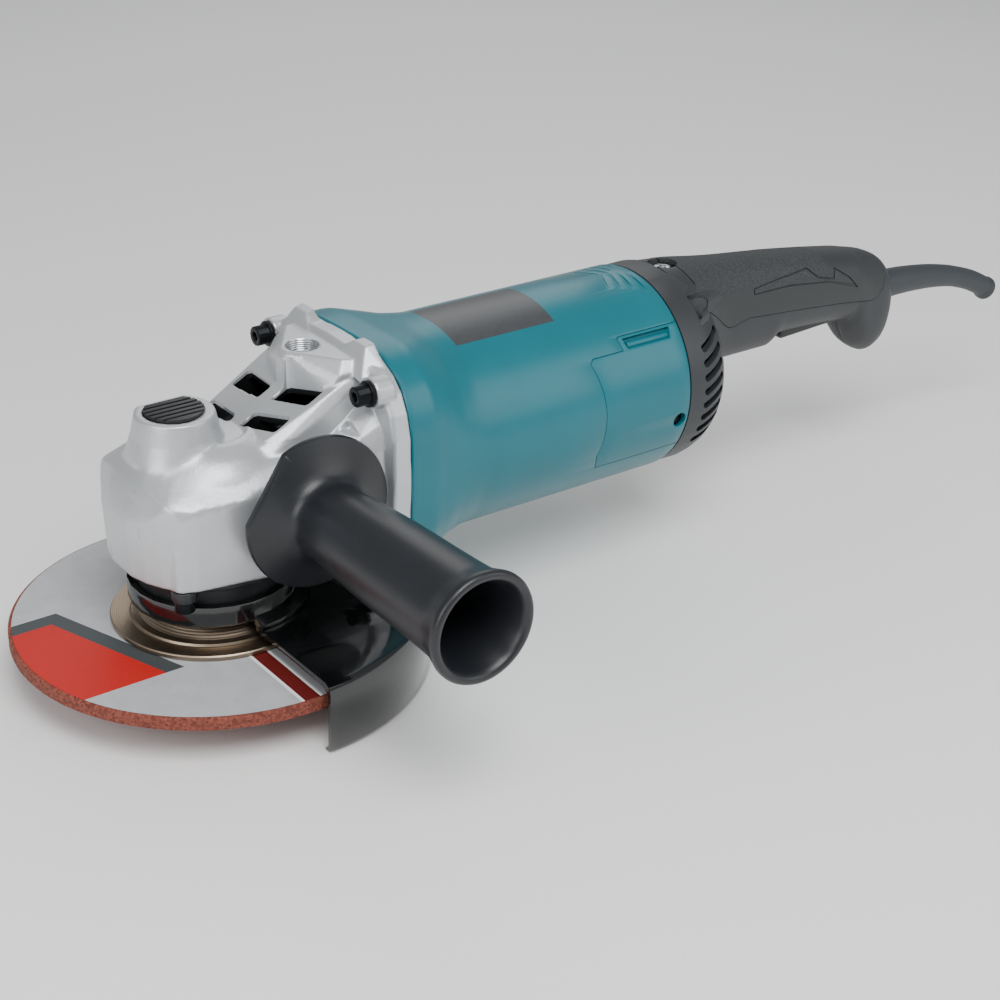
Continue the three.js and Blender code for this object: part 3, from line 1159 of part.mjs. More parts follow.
// ---------------------------------------------------------------- side handle
function makeSideGrip() {
  const z = AXIS_HEIGHT - 1;
  const back = -BOSS_FACE - 0.4;
  const end = back - GRIP_LENGTH;
  const inner = GRIP_RADIUS + 1;
  const outline = [
    [0, end + 92], [9, end + 90], [11, end + 40], [inner - 2.5, end + 8], [inner, end + 1.5],
    [inner + 1.6, end], [inner + 3.4, end + 0.3], [inner + 3.8, end + 3],
    [GRIP_RADIUS + 2, end + 12], [GRIP_RADIUS + 1, end + 50],
    [GRIP_RADIUS - 1, end + 90], [GRIP_RADIUS - 2, back - 14], [GRIP_RADIUS + 0.4, back - 8.5],
    [GRIP_FLANGE - 6, back - 4], [GRIP_FLANGE - 0.5, back - 2.6], [GRIP_FLANGE, back - 1.6],
    [GRIP_FLANGE - 0.4, back], [0, back],
  ];
  const grip = turnedY(outline, 32, BOSS_X, z);
  const boltHole = rodY(6 + 2 * GAP, back - 25, back + 1, BOSS_X, z, 10);
  const headHole = rodY(9 + 2 * GAP, back - 25, back - 17.7, BOSS_X, z, 10);
  const tilt = Math.atan2(0.83, 0.55);
  const flat = block(-60, 60, back - 40, back + 5, GRIP_FLANGE - 4.6, 90);
  const placedFlat = flat.rotate([0, -THREE.MathUtils.radToDeg(tilt), 0]).translate([BOSS_X, 0, z]);
  return cut(grip, boltHole, headHole, placedFlat);
}

function makeSideBolt() {
  const thread = THREAD_HOLE - GAP;
  const back = -BOSS_FACE - 0.4;
  return turnedY([
    [0, back - 24.7], [9, back - 24.7], [9, back - 18], [6, back - 18], [6, back + 0.2],
    [thread, back + 1.2], [thread, -33.5], [thread - 1, -32.5], [0, -32.5],
  ], 12, BOSS_X, AXIS_HEIGHT - 1);
}

// ---------------------------------------------------------------- assembly
piece('grinding_wheel', makeWheel(), finishes.abrasive);
piece('inner_flange', makeInnerFlange(), finishes.flangeSteel);
piece('lock_nut', makeLockNut(), finishes.steel);
piece('spindle', makeSpindle(), finishes.steel);
piece('ring_gear', ringGear, finishes.steel);
piece('spindle_bearing', turned(bearingProfile(SPINDLE_BEARING.inner, SPINDLE_BEARING.outer,
  SPINDLE_BEARING.z, bearingTop), 20), finishes.steel);
piece('needle_bearing', turned(bearingProfile(needle.inner, needle.outer, needle.z0, needle.z1), 16),
  finishes.steel);
piece('bearing_box', makeBearingBox(), finishes.blackScrew);
caseScrewPlaces.forEach((place, i) => {
  piece(`bearing_box_screw_${i + 1}`, makeBoxScrew(place), finishes.blackScrew);
});
piece('wheel_guard', makeGuard(), finishes.guardBlack);
piece('guard_collar', makeCollar(), finishes.guardBlack);
piece('guard_clamp_screw', makeClampScrew(), finishes.steel);
piece('gear_case', makeGearCase(), finishes.casting);
flangeScrewPlaces().forEach((place, i) => {
  piece(`gear_case_screw_${i + 1}`, makeFlangeScrew(place), finishes.blackScrew);
});
piece('lock_button', makeLockButton(), finishes.blackGrip);
piece('lock_pin', rod(LOCK_PIN_RADIUS, pinTip, BUTTON_TOP - BUTTON_THICKNESS - GAP, -LOCK_PIN_X, 0, 12),
  finishes.steel);
piece('lock_spring', makeLockSpring(), finishes.steel);
piece('pinion', pinionGear, finishes.steel);
piece('armature_shaft', makeArmatureShaft(), finishes.steel);
piece('armature_core', makeArmatureCore(), finishes.laminate);
piece('armature_windings_front', makeEndTurns(coreStart - 9, coreStart - GAP), finishes.copper);
piece('armature_windings_rear', makeEndTurns(coreEnd + GAP, coreEnd + 9), finishes.copper);
piece('commutator', makeCommutator(), finishes.copper);
piece('cooling_fan', makeFan(), finishes.blackGrip);
piece('front_bearing', turnedX(bearingProfile(FRONT_BEARING.inner, FRONT_BEARING.outer,
  FRONT_BEARING.x0, FRONT_BEARING.x1), 20), finishes.steel);
piece('rear_bearing', turnedX(bearingProfile(REAR_BEARING.inner, REAR_BEARING.outer,
  rearBearingX, rearBearingX + 8), 16), finishes.steel);
piece('bearing_retainer', turnedX([[11, FRONT_BEARING.x1 + 2 * GAP], [21, FRONT_BEARING.x1 + 2 * GAP],
  [21, FRONT_BEARING.x1 + 2.6], [11, FRONT_BEARING.x1 + 2.6]], 14), finishes.steel);
piece('fan_baffle', makeBaffle(), finishes.blackGrip);
piece('field_core', makeFieldCore(), finishes.laminate);
piece('field_coil_upper', makeFieldCoil(1), finishes.copper);
piece('field_coil_lower', makeFieldCoil(-1), finishes.copper);
piece('motor_housing', makeMotorHousing(), finishes.housing);
[['left', 1], ['right', -1]].forEach(([name, side]) => {
  piece(`side_cover_${name}`, makeSideCover(side), finishes.housing);
  piece(`side_cover_screw_${name}`, makeCoverScrew(side), finishes.blackScrew);
  piece(`brush_holder_${name}`, makeBrushHolder(side), finishes.brass);
  piece(`carbon_brush_${name}`, makeBrush(side), finishes.carbon);
  piece(`handle_half_${name}`, makeHandleHalf(side), finishes.darkPlastic);
});
piece('rear_cover', makeRearCover(), finishes.darkPlastic);
piece('soft_grip', makeSoftGrip(), finishes.softGrip);
piece('handle_neck_screw', makeNeckScrew(), finishes.steel);
handlePosts.forEach((place, i) => {
  piece(`handle_screw_${i + 1}`, makeHandleScrew(place), finishes.blackScrew);
});
piece('trigger', makeTrigger(), finishes.blackGrip);
piece('power_switch', makeSwitch(), finishes.blackGrip);
piece('cord_guard', makeCordGuard(), finishes.rubber);
piece('cord_clamp', makeCordClamp(), finishes.blackGrip);
piece('side_handle_grip', makeSideGrip(), finishes.blackGrip);
piece('side_handle_bolt', makeSideBolt(), finishes.steel);

export default grinder;
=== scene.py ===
"""Look of a corded 180 mm angle grinder with a cast head, a moulded motor housing and a bar handle.

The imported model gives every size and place. Lengths in this file are millimetres unless a name
ends in _m, and each finished piece keeps its place in its own mesh.
"""

import math

import bpy
from mathutils import Matrix, Vector


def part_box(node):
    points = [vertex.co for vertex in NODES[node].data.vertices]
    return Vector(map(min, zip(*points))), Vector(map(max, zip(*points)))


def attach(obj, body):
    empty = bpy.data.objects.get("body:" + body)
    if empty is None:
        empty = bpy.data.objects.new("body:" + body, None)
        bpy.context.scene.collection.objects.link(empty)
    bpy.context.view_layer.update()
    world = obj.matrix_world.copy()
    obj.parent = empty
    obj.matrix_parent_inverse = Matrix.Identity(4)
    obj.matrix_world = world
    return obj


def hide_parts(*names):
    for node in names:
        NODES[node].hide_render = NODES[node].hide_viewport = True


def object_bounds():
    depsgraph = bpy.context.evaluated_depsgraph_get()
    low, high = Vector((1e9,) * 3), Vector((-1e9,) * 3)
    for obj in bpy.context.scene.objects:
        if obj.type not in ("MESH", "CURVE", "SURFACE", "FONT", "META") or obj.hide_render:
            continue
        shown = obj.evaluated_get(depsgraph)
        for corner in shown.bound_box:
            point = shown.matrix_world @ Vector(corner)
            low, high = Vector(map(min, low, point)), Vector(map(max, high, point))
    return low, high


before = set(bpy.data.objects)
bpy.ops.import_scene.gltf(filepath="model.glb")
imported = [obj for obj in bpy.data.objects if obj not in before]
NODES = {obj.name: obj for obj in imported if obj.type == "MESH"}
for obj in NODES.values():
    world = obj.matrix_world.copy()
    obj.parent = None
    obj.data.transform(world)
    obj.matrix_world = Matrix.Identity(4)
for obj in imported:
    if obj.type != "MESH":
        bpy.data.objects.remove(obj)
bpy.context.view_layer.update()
MM = 0.001


# ------------------------------------------------------------------ sizes read from the frame
def span(node):
    """Lowest and highest corner of a node, in millimetres."""
    low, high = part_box(node)
    return low / MM, high / MM


# The spindle stands on z at x and y zero, and the motor lies along x at the height AXIS.
AXIS = sum(corner.z for corner in span("armature_shaft")) / 2
wheel_low, wheel_high = span("grinding_wheel")
WHEEL_RADIUS = wheel_high.x
WHEEL_FACE = 10.5  # height of the printed face, below the raised hub
HUB_TOP = wheel_high.z
BORE_RADIUS = 11.15
FLANGE_RADIUS = span("inner_flange")[1].y
housing_low, housing_high = span("motor_housing")
BARREL_RADIUS = span("side_cover_left")[1].y
FLANGE_HALF = housing_high.y
SEAM = housing_low.x  # where the gear case meets the motor housing
BARREL_END = housing_high.x
cover_low, cover_high = span("side_cover_right")
REAR_COVER_START = span("rear_cover")[0].x
guard_low, guard_high = span("wheel_guard")
grip_low, grip_high = span("side_handle_grip")
handle_low, handle_high = span("handle_half_right")
HANDLE_START = handle_low.x + 1
HANDLE_END = handle_high.x
# The head's sloping deck: its rise per millimetre rearwards and its height at x zero.
DECK_SLOPE = 0.53
DECK_ZERO = AXIS + 34.5 - DECK_SLOPE * 35
# Its windows: side, then the front and the rear edge as x near the middle and x outside.
DECK_WINDOWS = [
    (-1, (14.6, 20), (23, 28.6)),
    (-1, (30.6, 36), (40, 45.6)),
    (1, (12.4, 11.6), (17.4, 17.4)),
    (1, (28.6, 27.2), (36, 36.4)),
]
LOCK_BOSS_X = span("lock_button")[0].x + 12.9
# The threaded hole in the pad on top of the head, and the side handle's bolt.
TOP_HOLE_X, TOP_PAD = 49.3, AXIS + 52
BOLT_X, BOLT_Z = 24.5, AXIS - 1


# ------------------------------------------------------------------ colour and node helpers
def linear(hex_colour, alpha=1.0):
    """An sRGB hex colour as linear values."""
    channels = [int(hex_colour[i:i + 2], 16) / 255 for i in (1, 3, 5)]
    values = [c / 12.92 if c <= 0.04045 else ((c + 0.055) / 1.055) ** 2.4 for c in channels]
    return (*values, alpha)


def add_node(tree, kind, settings=None, links=None):
    """Adds a node. Settings name its properties or give its sockets values; links feed sockets."""
    node = tree.nodes.new(kind)
    for key, value in (settings or {}).items():
        if isinstance(key, str) and hasattr(node, key) and key not in node.inputs:
            setattr(node, key, value)
        else:
            node.inputs[key].default_value = value
    for key, socket in (links or {}).items():
        tree.links.new(socket, node.inputs[key])
    return node


def new_material(name, colour, roughness, metallic=0.0, **sockets):
    """A material with its shader, and the place on the piece in metres for its patterns."""
    material = bpy.data.materials.new(name)
    material.use_nodes = True
    tree = material.node_tree
    shader = tree.nodes["Principled BSDF"]
    shader.inputs["Base Color"].default_value = linear(colour)
    shader.inputs["Roughness"].default_value = roughness
    shader.inputs["Metallic"].default_value = metallic
    for key, value in sockets.items():
        shader.inputs[key.replace("_", " ")].default_value = value
    place = add_node(tree, "ShaderNodeTexCoord").outputs["Object"]
    return material, tree, shader, place


def per_mm(size):
    """The noise scale that gives features of about this many millimetres."""
    return 1.0 / (size * MM)


def add_bump(tree, shader, height, depth_mm, strength=1.0):
    bump = add_node(
        tree,
        "ShaderNodeBump",
        {"Strength": strength, "Distance": depth_mm * MM},
        {"Height": height},
    )
    tree.links.new(bump.outputs["Normal"], shader.inputs["Normal"])
    return bump


def vary(tree, shader, socket, factor, low, high):
    """Feeds a colour or a number on the shader with a mix driven by a factor."""
    if isinstance(low, str):
        ramp = add_node(tree, "ShaderNodeMix", {"data_type": "RGBA"}, {"Factor": factor})
        ramp.inputs[6].default_value = linear(low)
        ramp.inputs[7].default_value = linear(high)
        tree.links.new(ramp.outputs[2], shader.inputs[socket])
        return ramp.outputs[2]
    ramp = add_node(
        tree, "ShaderNodeMapRange", {"To Min": low, "To Max": high}, {"Value": factor}
    )
    tree.links.new(ramp.outputs[0], shader.inputs[socket])
    return ramp.outputs[0]


def noise(tree, place, size_mm, detail=3.0, roughness=0.5):
    return add_node(
        tree,
        "ShaderNodeTexNoise",
        {"Scale": per_mm(size_mm), "Detail": detail, "Roughness": roughness},
        {"Vector": place},
    ).outputs[0]


def compare(tree, operation, first, second):
    """One arithmetic step; each side is a socket or a number."""
    node = add_node(tree, "ShaderNodeMath", {"operation": operation})
    for index, value in enumerate((first, second)):
        if isinstance(value, (int, float)):
            node.inputs[index].default_value = value
        else:
            tree.links.new(value, node.inputs[index])
    return node.outputs[0]


def between(tree, value, low, high):
    above = compare(tree, "GREATER_THAN", value, low)
    below = compare(tree, "LESS_THAN", value, high)
    return compare(tree, "MULTIPLY", above, below)


def tint(tree, under, colour, mask):
    """Prints a colour over another where the mask is one."""
    mix = add_node(tree, "ShaderNodeMix", {"data_type": "RGBA"}, {"Factor": mask})
    tree.links.new(under, mix.inputs[6])
    mix.inputs[7].default_value = linear(colour)
    return mix.outputs[2]


# ------------------------------------------------------------------ materials
def moulded(name, dark, light, roughness, grain_mm, depth_mm, **sockets):
    """An injection moulding: nearly one colour, with the mould's spark-eroded grain in the gloss."""
    material, tree, shader, place = new_material(name, light, roughness, **sockets)
    vary(tree, shader, "Base Color", noise(tree, place, 26, 2), dark, light)
    grain = noise(tree, place, grain_mm, 2)
    vary(tree, shader, "Roughness", grain, roughness - 0.06, roughness + 0.06)
    add_bump(tree, shader, grain, depth_mm)
    return material


# Glass-filled nylon, moulded in a polished mould: a deep even teal with a soft broad highlight.
teal_nylon = moulded("glass-filled nylon, teal", "#005f6b", "#006a77", 0.32, 0.9, 0.02)
# Glass-filled nylon from a spark-eroded mould: charcoal grey with a dry fine sheen.
charcoal_nylon = moulded("glass-filled nylon, charcoal", "#26292c", "#2e3235", 0.46, 0.8, 0.05)
# The same resin in black for the fan, the baffle, the switch and the trigger.
black_nylon = moulded("glass-filled nylon, black", "#121415", "#1a1c1e", 0.42, 0.8, 0.04)
# Polypropylene grip, moulded with a satin face: blue-black with long soft highlights.
handle_plastic = moulded("polypropylene, blue-black", "#15171b", "#1c1f24", 0.36, 0.9, 0.03)
# Vulcanised rubber for the cord guard: dark grey and nearly matt.
cord_rubber = moulded("vulcanised rubber, dark grey", "#2c3034", "#353a3f", 0.52, 0.7, 0.04)


def stippled_elastomer():
    """Thermoplastic elastomer moulded over the handle: matt grey, stippled where the palm lies."""
    material, tree, shader, place = new_material("thermoplastic elastomer, grey", "#2b2e30", 0.62)
    parts = add_node(tree, "ShaderNodeSeparateXYZ", {}, {0: place})
    rear = (HANDLE_START + 109) * MM
    lean = compare(tree, "MULTIPLY", parts.outputs[0], 0.1)
    level = compare(tree, "ADD", parts.outputs[2], lean)
    above = compare(tree, "GREATER_THAN", level, (AXIS + 36 + 0.1 * HANDLE_START) * MM)
    stippled = compare(tree, "MULTIPLY", above, compare(tree, "LESS_THAN", parts.outputs[0], rear))
    # The real stipple is about 0.6 mm across; it is drawn at 1 mm to show.
    dots = add_node(
        tree, "ShaderNodeTexVoronoi", {"Scale": per_mm(1.0)}, {"Vector": place}
    ).outputs["Distance"]
    height = add_node(
        tree, "ShaderNodeMapRange", {"From Min": 0.2, "From Max": 0.6, "To Min": 1.0, "To Max": 0.0},
        {"Value": dots},
    ).outputs[0]
    height = compare(tree, "MULTIPLY", height, stippled)
    vary(tree, shader, "Base Color", height, "#2b2e30", "#3a3e40")
    vary(tree, shader, "Roughness", stippled, 0.5, 0.7)
    add_bump(tree, shader, height, 0.12)
    return material


soft_elastomer = stippled_elastomer()


def painted_casting():
    """Magnesium die casting under silver lacquer: bright and slightly mottled, sand-fine in its
    texture, with painted shade inside the air duct, which is near black and barely metallic there."""
    material, tree, shader, place = new_material(
        "die-cast magnesium, silver lacquer", "#c1c5c8", 0.36, 0.6
    )
    parts = add_node(tree, "ShaderNodeSeparateXYZ", {}, {0: place})
    x, y, z = parts.outputs
    slope = compare(tree, "MULTIPLY", x, DECK_SLOPE)
    depth = compare(tree, "SUBTRACT", compare(tree, "SUBTRACT", z, slope), DECK_ZERO * MM)
    below = between(tree, depth, -60 * MM, -1.6 * MM)
    middle = between(tree, y, -24.6 * MM, 24.6 * MM)
    # Painted shade: the duct under the deck's skin, between its side walls and behind the gears, is drawn
    # near black.
    duct_painted_shade = compare(tree, "MULTIPLY", below, middle)
    duct_painted_shade = compare(tree, "MULTIPLY", duct_painted_shade, between(tree, x, 12.5 * MM, (SEAM - 8) * MM))
    duct_painted_shade = compare(tree, "MULTIPLY", duct_painted_shade, between(tree, z, (AXIS + 15.2) * MM, (AXIS + 60) * MM))
    lacquer = add_node(
        tree, "ShaderNodeMix", {"data_type": "RGBA"}, {"Factor": noise(tree, place, 30, 3)}
    )
    lacquer.inputs[6].default_value = linear("#b4b8bb")
    lacquer.inputs[7].default_value = linear("#cdd0d3")
    # Painted shade: the lacquer turns near black and less metallic inside the duct.
    tree.links.new(tint(tree, lacquer.outputs[2], "#0c0d0e", duct_painted_shade), shader.inputs["Base Color"])
    vary(tree, shader, "Metallic", duct_painted_shade, 0.6, 0.1)
    fine = noise(tree, place, 1.3, 4, 0.6)
    vary(tree, shader, "Roughness", fine, 0.3, 0.46)
    add_bump(tree, shader, fine, 0.08)
    return material


silver_casting = painted_casting()


def black_enamel():
    """Pressed steel sheet in stoved black enamel: mirror-like with a faint orange-peel ripple."""
    material, tree, shader, place = new_material(
        "pressed steel, black enamel", "#0b0c0d", 0.14, 0.0, Coat_Weight=0.6, Coat_Roughness=0.05
    )
    ripple = noise(tree, place, 5, 2)
    vary(tree, shader, "Roughness", ripple, 0.1, 0.2)
    add_bump(tree, shader, ripple, 0.05)
    return material


guard_enamel = black_enamel()


def oxide_black():
    """Alloy steel, blackened in hot salts: dark with a thin oily shine."""
    material, tree, shader, place = new_material("alloy steel, black oxide", "#17191b", 0.4, 0.85)
    film = noise(tree, place, 4, 3)
    vary(tree, shader, "Base Color", film, "#131517", "#202326")
    vary(tree, shader, "Roughness", film, 0.32, 0.5)
    add_bump(tree, shader, noise(tree, place, 0.8, 2), 0.02)
    return material


black_oxide = oxide_black()


def cast_black():
    """Aluminium die casting in black paint: satin and slightly rough from the mould."""
    material, tree, shader, place = new_material("die-cast aluminium, black paint", "#1b1d1f", 0.42)
    rough = noise(tree, place, 1.4, 3)
    vary(tree, shader, "Base Color", noise(tree, place, 12, 3), "#151719", "#232629")
    vary(tree, shader, "Roughness", rough, 0.36, 0.5)
    add_bump(tree, shader, rough, 0.06)
    return material


black_casting = cast_black()


def ring_height(tree, place, pitch_mm, axis):
    """Waves of one pitch about a line through the origin: the lathe's feed marks."""
    flat = [1.0, 1.0, 1.0]
    flat[axis] = 0.0
    across = add_node(
        tree, "ShaderNodeVectorMath", {"operation": "MULTIPLY", 1: flat}, {0: place}
    ).outputs[0]
    radius = add_node(tree, "ShaderNodeVectorMath", {"operation": "LENGTH"}, {0: across}).outputs[1]
    turns = add_node(
        tree, "ShaderNodeMath", {"operation": "MULTIPLY", 1: 2 * math.pi * per_mm(pitch_mm)}, {0: radius}
    ).outputs[0]
    return add_node(tree, "ShaderNodeMath", {"operation": "SINE"}, {0: turns}).outputs[0], radius


def turned_steel(name, dark, light, roughness):
    """Carbon steel, faced on a lathe: warm grey with rings that catch the light in turn."""
    material, tree, shader, place = new_material(name, light, roughness, 1.0)
    # The real feed marks are a tenth of a millimetre apart; they are drawn at 0.9 mm to show.
    rings, _ = ring_height(tree, place, 0.9, 2)
    stain = noise(tree, place, 14, 3)
    vary(tree, shader, "Base Color", stain, dark, light)
    vary(tree, shader, "Roughness", stain, roughness - 0.07, roughness + 0.1)
    add_bump(tree, shader, rings, 0.03, 0.6)
    return material


flange_steel = turned_steel("carbon steel, lathe-faced", "#8a7b6a", "#ab9a86", 0.36)
plain_steel = turned_steel("carbon steel, ground", "#9a9c9e", "#b8babc", 0.28)


def metal(name, dark, light, roughness, size_mm):
    material, tree, shader, place = new_material(name, light, roughness, 1.0)
    tone = noise(tree, place, size_mm, 3)
    vary(tree, shader, "Base Color", tone, dark, light)
    vary(tree, shader, "Roughness", tone, roughness - 0.06, roughness + 0.08)
    return material


# Enamelled copper wire, wound and varnished: a deep orange-brown.
copper_wire = metal("copper wire, varnished", "#8e4a22", "#b4683a", 0.36, 2.5)
# Cartridge brass strip, folded: pale yellow and smooth.
brass_strip = metal("cartridge brass, folded", "#a98a45", "#c8a862", 0.3, 6)
# Bearing steel, ground: bright and neutral.
bearing_steel = metal("bearing steel, ground", "#a9abad", "#c4c6c8", 0.22, 6)
# Zinc-plated steel: pale with a thin blue-white cast.
zinc_plate = metal("steel, zinc-plated", "#b3b7ba", "#ced3d6", 0.26, 5)


def lamination():
    """Silicon steel sheets in a stack: grey with fine lines across the motor's axis."""
    material, tree, shader, place = new_material("silicon steel, laminated", "#777a7d", 0.42, 0.9)
    # Real sheets are 0.5 mm thick; the lines are drawn at 1.5 mm to show.
    waves = add_node(
        tree,
        "ShaderNodeTexWave",
        {"Scale": per_mm(1.5) / (2 * math.pi), "bands_direction": "X"},
        {"Vector": place},
    ).outputs[1]
    vary(tree, shader, "Base Color", waves, "#5c5f62", "#83868a")
    add_bump(tree, shader, waves, 0.1)
    return material


laminated_steel = lamination()


def graphite():
    """Electrographite for the brushes: soft black with a faint lead shine."""
    material, tree, shader, place = new_material("electrographite", "#202224", 0.6, 0.2)
    vary(tree, shader, "Base Color", noise(tree, place, 0.8, 2), "#191b1c", "#2a2c2e")
    return material


brush_graphite = graphite()


# ------------------------------------------------------------------ the wheel's printed face
def grit(tree, place):
    """Grains of alumina in resin, as light and dark specks."""
    cells = add_node(
        tree, "ShaderNodeTexVoronoi", {"Scale": per_mm(1.1)}, {"Vector": place}
    )
    return cells.outputs["Distance"], cells.outputs["Color"]


def abrasive():
    """Brown alumina in phenolic resin: a rust-red open grit, rough to the touch."""
    material, tree, shader, place = new_material("brown alumina in phenolic resin", "#7a3c2e", 0.9)
    distance, speckle = grit(tree, place)
    tone = add_node(tree, "ShaderNodeSeparateColor", {}, {0: speckle}).outputs[0]
    vary(tree, shader, "Base Color", tone, "#5e2a20", "#8d4a3a")
    add_bump(tree, shader, distance, 0.5)
    return material


def printed_disc():
    """Printed paper pressed on glass mesh: silver-grey with flat red, grey and dark red areas."""
    material, tree, shader, place = new_material("printed paper on glass mesh", "#c9cbd2", 0.55)
    parts = add_node(tree, "ShaderNodeSeparateXYZ", {}, {0: place})
    x, y = parts.outputs[0], parts.outputs[1]
    shade = noise(tree, place, 9, 4, 0.6)
    paper = add_node(tree, "ShaderNodeMix", {"data_type": "RGBA"}, {"Factor": shade})
    paper.inputs[6].default_value = linear("#9fa1a5")
    paper.inputs[7].default_value = linear("#bbbcbe")
    # The red panel reaches the rim on the wheel's front edge, inside a grey border.
    panel_edge = compare(tree, "ADD", x, compare(tree, "MULTIPLY", y, 0.349))
    inside_panel = compare(tree, "LESS_THAN", panel_edge, -55.5 * MM)
    panel = compare(tree, "MULTIPLY", inside_panel, between(tree, y, -36.2 * MM, 28.2 * MM))
    inside_border = compare(tree, "LESS_THAN", panel_edge, -47 * MM)
    border = compare(tree, "MULTIPLY", inside_border, between(tree, y, -36.2 * MM, 36 * MM))
    colour = tint(tree, paper.outputs[2], "#3c4143", border)
    colour = tint(tree, colour, "#b8150c", panel)
    # The dark red stripe with its two pale edges runs from the flange to the rim.
    right_side = compare(tree, "LESS_THAN", y, 0.0)
    stripe = compare(tree, "MULTIPLY", between(tree, x, -6.3 * MM, 0.9 * MM), right_side)
    edge = compare(tree, "MULTIPLY", between(tree, x, -7.8 * MM, 2.2 * MM), right_side)
    colour = tint(tree, colour, "#e9e9ea", edge)
    colour = tint(tree, colour, "#5f0f0c", stripe)
    tree.links.new(colour, shader.inputs["Base Color"])
    mesh = noise(tree, place, 1.6, 3)
    add_bump(tree, shader, mesh, 0.12)
    return material


wheel_abrasive = abrasive()
wheel_print = printed_disc()


def rating_foil():
    """Polyester foil label: flat dark grey, left blank."""
    material, tree, shader, place = new_material("polyester foil, dark grey", "#3a3d40", 0.36)
    vary(tree, shader, "Base Color", noise(tree, place, 3, 2), "#34373a", "#404346")
    return material


label_foil = rating_foil()


# ------------------------------------------------------------------ modelling helpers
def deselect():
    if bpy.context.object and bpy.context.object.mode != "OBJECT":
        bpy.ops.object.mode_set(mode="OBJECT")
    bpy.ops.object.select_all(action="DESELECT")


def activate(piece):
    deselect()
    piece.select_set(True)
    bpy.context.view_layer.objects.active = piece
    return piece


def apply_modifier(piece, kind, **settings):
    activate(piece)
    modifier = piece.modifiers.new(kind.title(), kind)
    for key, value in settings.items():
        setattr(modifier, key, value)
    bpy.ops.object.modifier_apply(modifier=modifier.name)


def soften(piece, angle=35):
    activate(piece)
    bpy.ops.object.shade_smooth_by_angle(angle=math.radians(angle))


def dress(piece, name, material, body, nodes=()):
    """Names the piece, gives it its material and hands it to the body that carries it."""
    piece.name = name
    piece.data.name = name
    piece.data.materials.clear()
    piece.data.materials.append(material)
    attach(piece, body)
    if nodes:
        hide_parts(*nodes)
    return piece


def copy_of(node):
    """A copy of a CAD node with its loose triangles joined up and its flat faces made whole."""
    piece = NODES[node].copy()
    piece.data = NODES[node].data.copy()
    for key in list(piece.keys()):
        if key.startswith("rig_"):
            del piece[key]
    piece.parent = None
    bpy.context.scene.collection.objects.link(piece)
    piece.hide_render = False
    activate(piece)
    bpy.ops.object.mode_set(mode="EDIT")
    bpy.ops.mesh.select_all(action="SELECT")
    bpy.ops.mesh.remove_doubles(threshold=0.00001)
    bpy.ops.mesh.dissolve_limited(angle_limit=math.radians(0.6))
    bpy.ops.object.mode_set(mode="OBJECT")
    return piece


def bevelled(node, material, body, width=0.5, segments=2, angle=28):
    """A CAD node with its sharp edges rounded, as moulding, casting or turning leaves them."""
    piece = copy_of(node)
    apply_modifier(
        piece,
        "BEVEL",
        width=width * MM,
        segments=segments,
        limit_method="ANGLE",
        angle_limit=math.radians(angle),
        harden_normals=False,
    )
    soften(piece, 38)
    return dress(piece, node + "_finished", material, body, [node])


def recast(piece, node, material, body, voxel=0.85, passes=5):
    """A copy of a CAD node melted over its edges, as lacquer over a casting leaves them."""
    apply_modifier(piece, "REMESH", mode="VOXEL", voxel_size=voxel * MM)
    apply_modifier(piece, "SMOOTH", factor=0.5, iterations=passes)
    faces = sum(len(face.vertices) - 2 for face in piece.data.polygons)
    if faces > 170000:
        apply_modifier(piece, "DECIMATE", ratio=170000 / faces)
    activate(piece)
    bpy.ops.object.shade_smooth()
    return dress(piece, node + "_cast", material, body, [node])


def melt(piece, chosen, passes):
    """Smooths only the chosen part of a casting further, given its place in millimetres."""
    group = piece.vertex_groups.new(name="melted")
    places = ((vertex.index, vertex.co / MM) for vertex in piece.data.vertices)
    group.add([index for index, place in places if chosen(*place)], 1.0, "REPLACE")
    apply_modifier(piece, "SMOOTH", factor=0.5, iterations=passes, vertex_group="melted")
    piece.vertex_groups.clear()


def spun(profile, steps=96, centre=(0, 0, 0), axis=(0, 0, 1), out=(1, 0, 0)):
    """Spins an outline of [radius, height] pairs about an axis; it starts and ends on the axis
    or closes on itself."""
    deselect()
    bpy.ops.mesh.primitive_plane_add(size=MM)
    piece = bpy.context.object
    bpy.ops.object.mode_set(mode="EDIT")
    bpy.ops.mesh.select_all(action="SELECT")
    bpy.ops.mesh.merge(type="CENTER")
    middle, spin_axis, outward = (Vector(v) for v in (centre, axis, out))
    places = [(middle + outward * r + spin_axis * h) * MM for r, h in profile]
    bpy.ops.transform.translate(value=places[0])
    for start, end in zip(places, places[1:]):
        bpy.ops.mesh.extrude_region_move(TRANSFORM_OT_translate={"value": end - start})
    bpy.ops.mesh.select_all(action="SELECT")
    if profile[0][0] > 0:
        bpy.ops.mesh.edge_face_add()
        bpy.ops.mesh.delete(type="ONLY_FACE")
        bpy.ops.mesh.select_all(action="SELECT")
    bpy.ops.mesh.spin(
        steps=steps, angle=2 * math.pi, center=middle * MM, axis=spin_axis, use_auto_merge=True
    )
    bpy.ops.mesh.select_all(action="SELECT")
    bpy.ops.mesh.remove_doubles(threshold=0.00002)
    bpy.ops.mesh.normals_make_consistent(inside=False)
    bpy.ops.object.mode_set(mode="OBJECT")
    return piece


def rounded_block(low, high, bevel, segments=3):
    """A box between two corners, with its edges rounded."""
    deselect()
    low, high = Vector(low), Vector(high)
    bpy.ops.mesh.primitive_cube_add(size=1, location=(low + high) / 2 * MM)
    piece = bpy.context.object
    piece.scale = (high - low) * MM
    bpy.ops.object.transform_apply(location=True, rotation=False, scale=True)
    if bevel:
        bpy.ops.object.mode_set(mode="EDIT")
        bpy.ops.mesh.select_all(action="SELECT")
        bpy.ops.mesh.bevel(offset=bevel * MM, segments=segments, affect="EDGES")
        bpy.ops.object.mode_set(mode="OBJECT")
    return piece


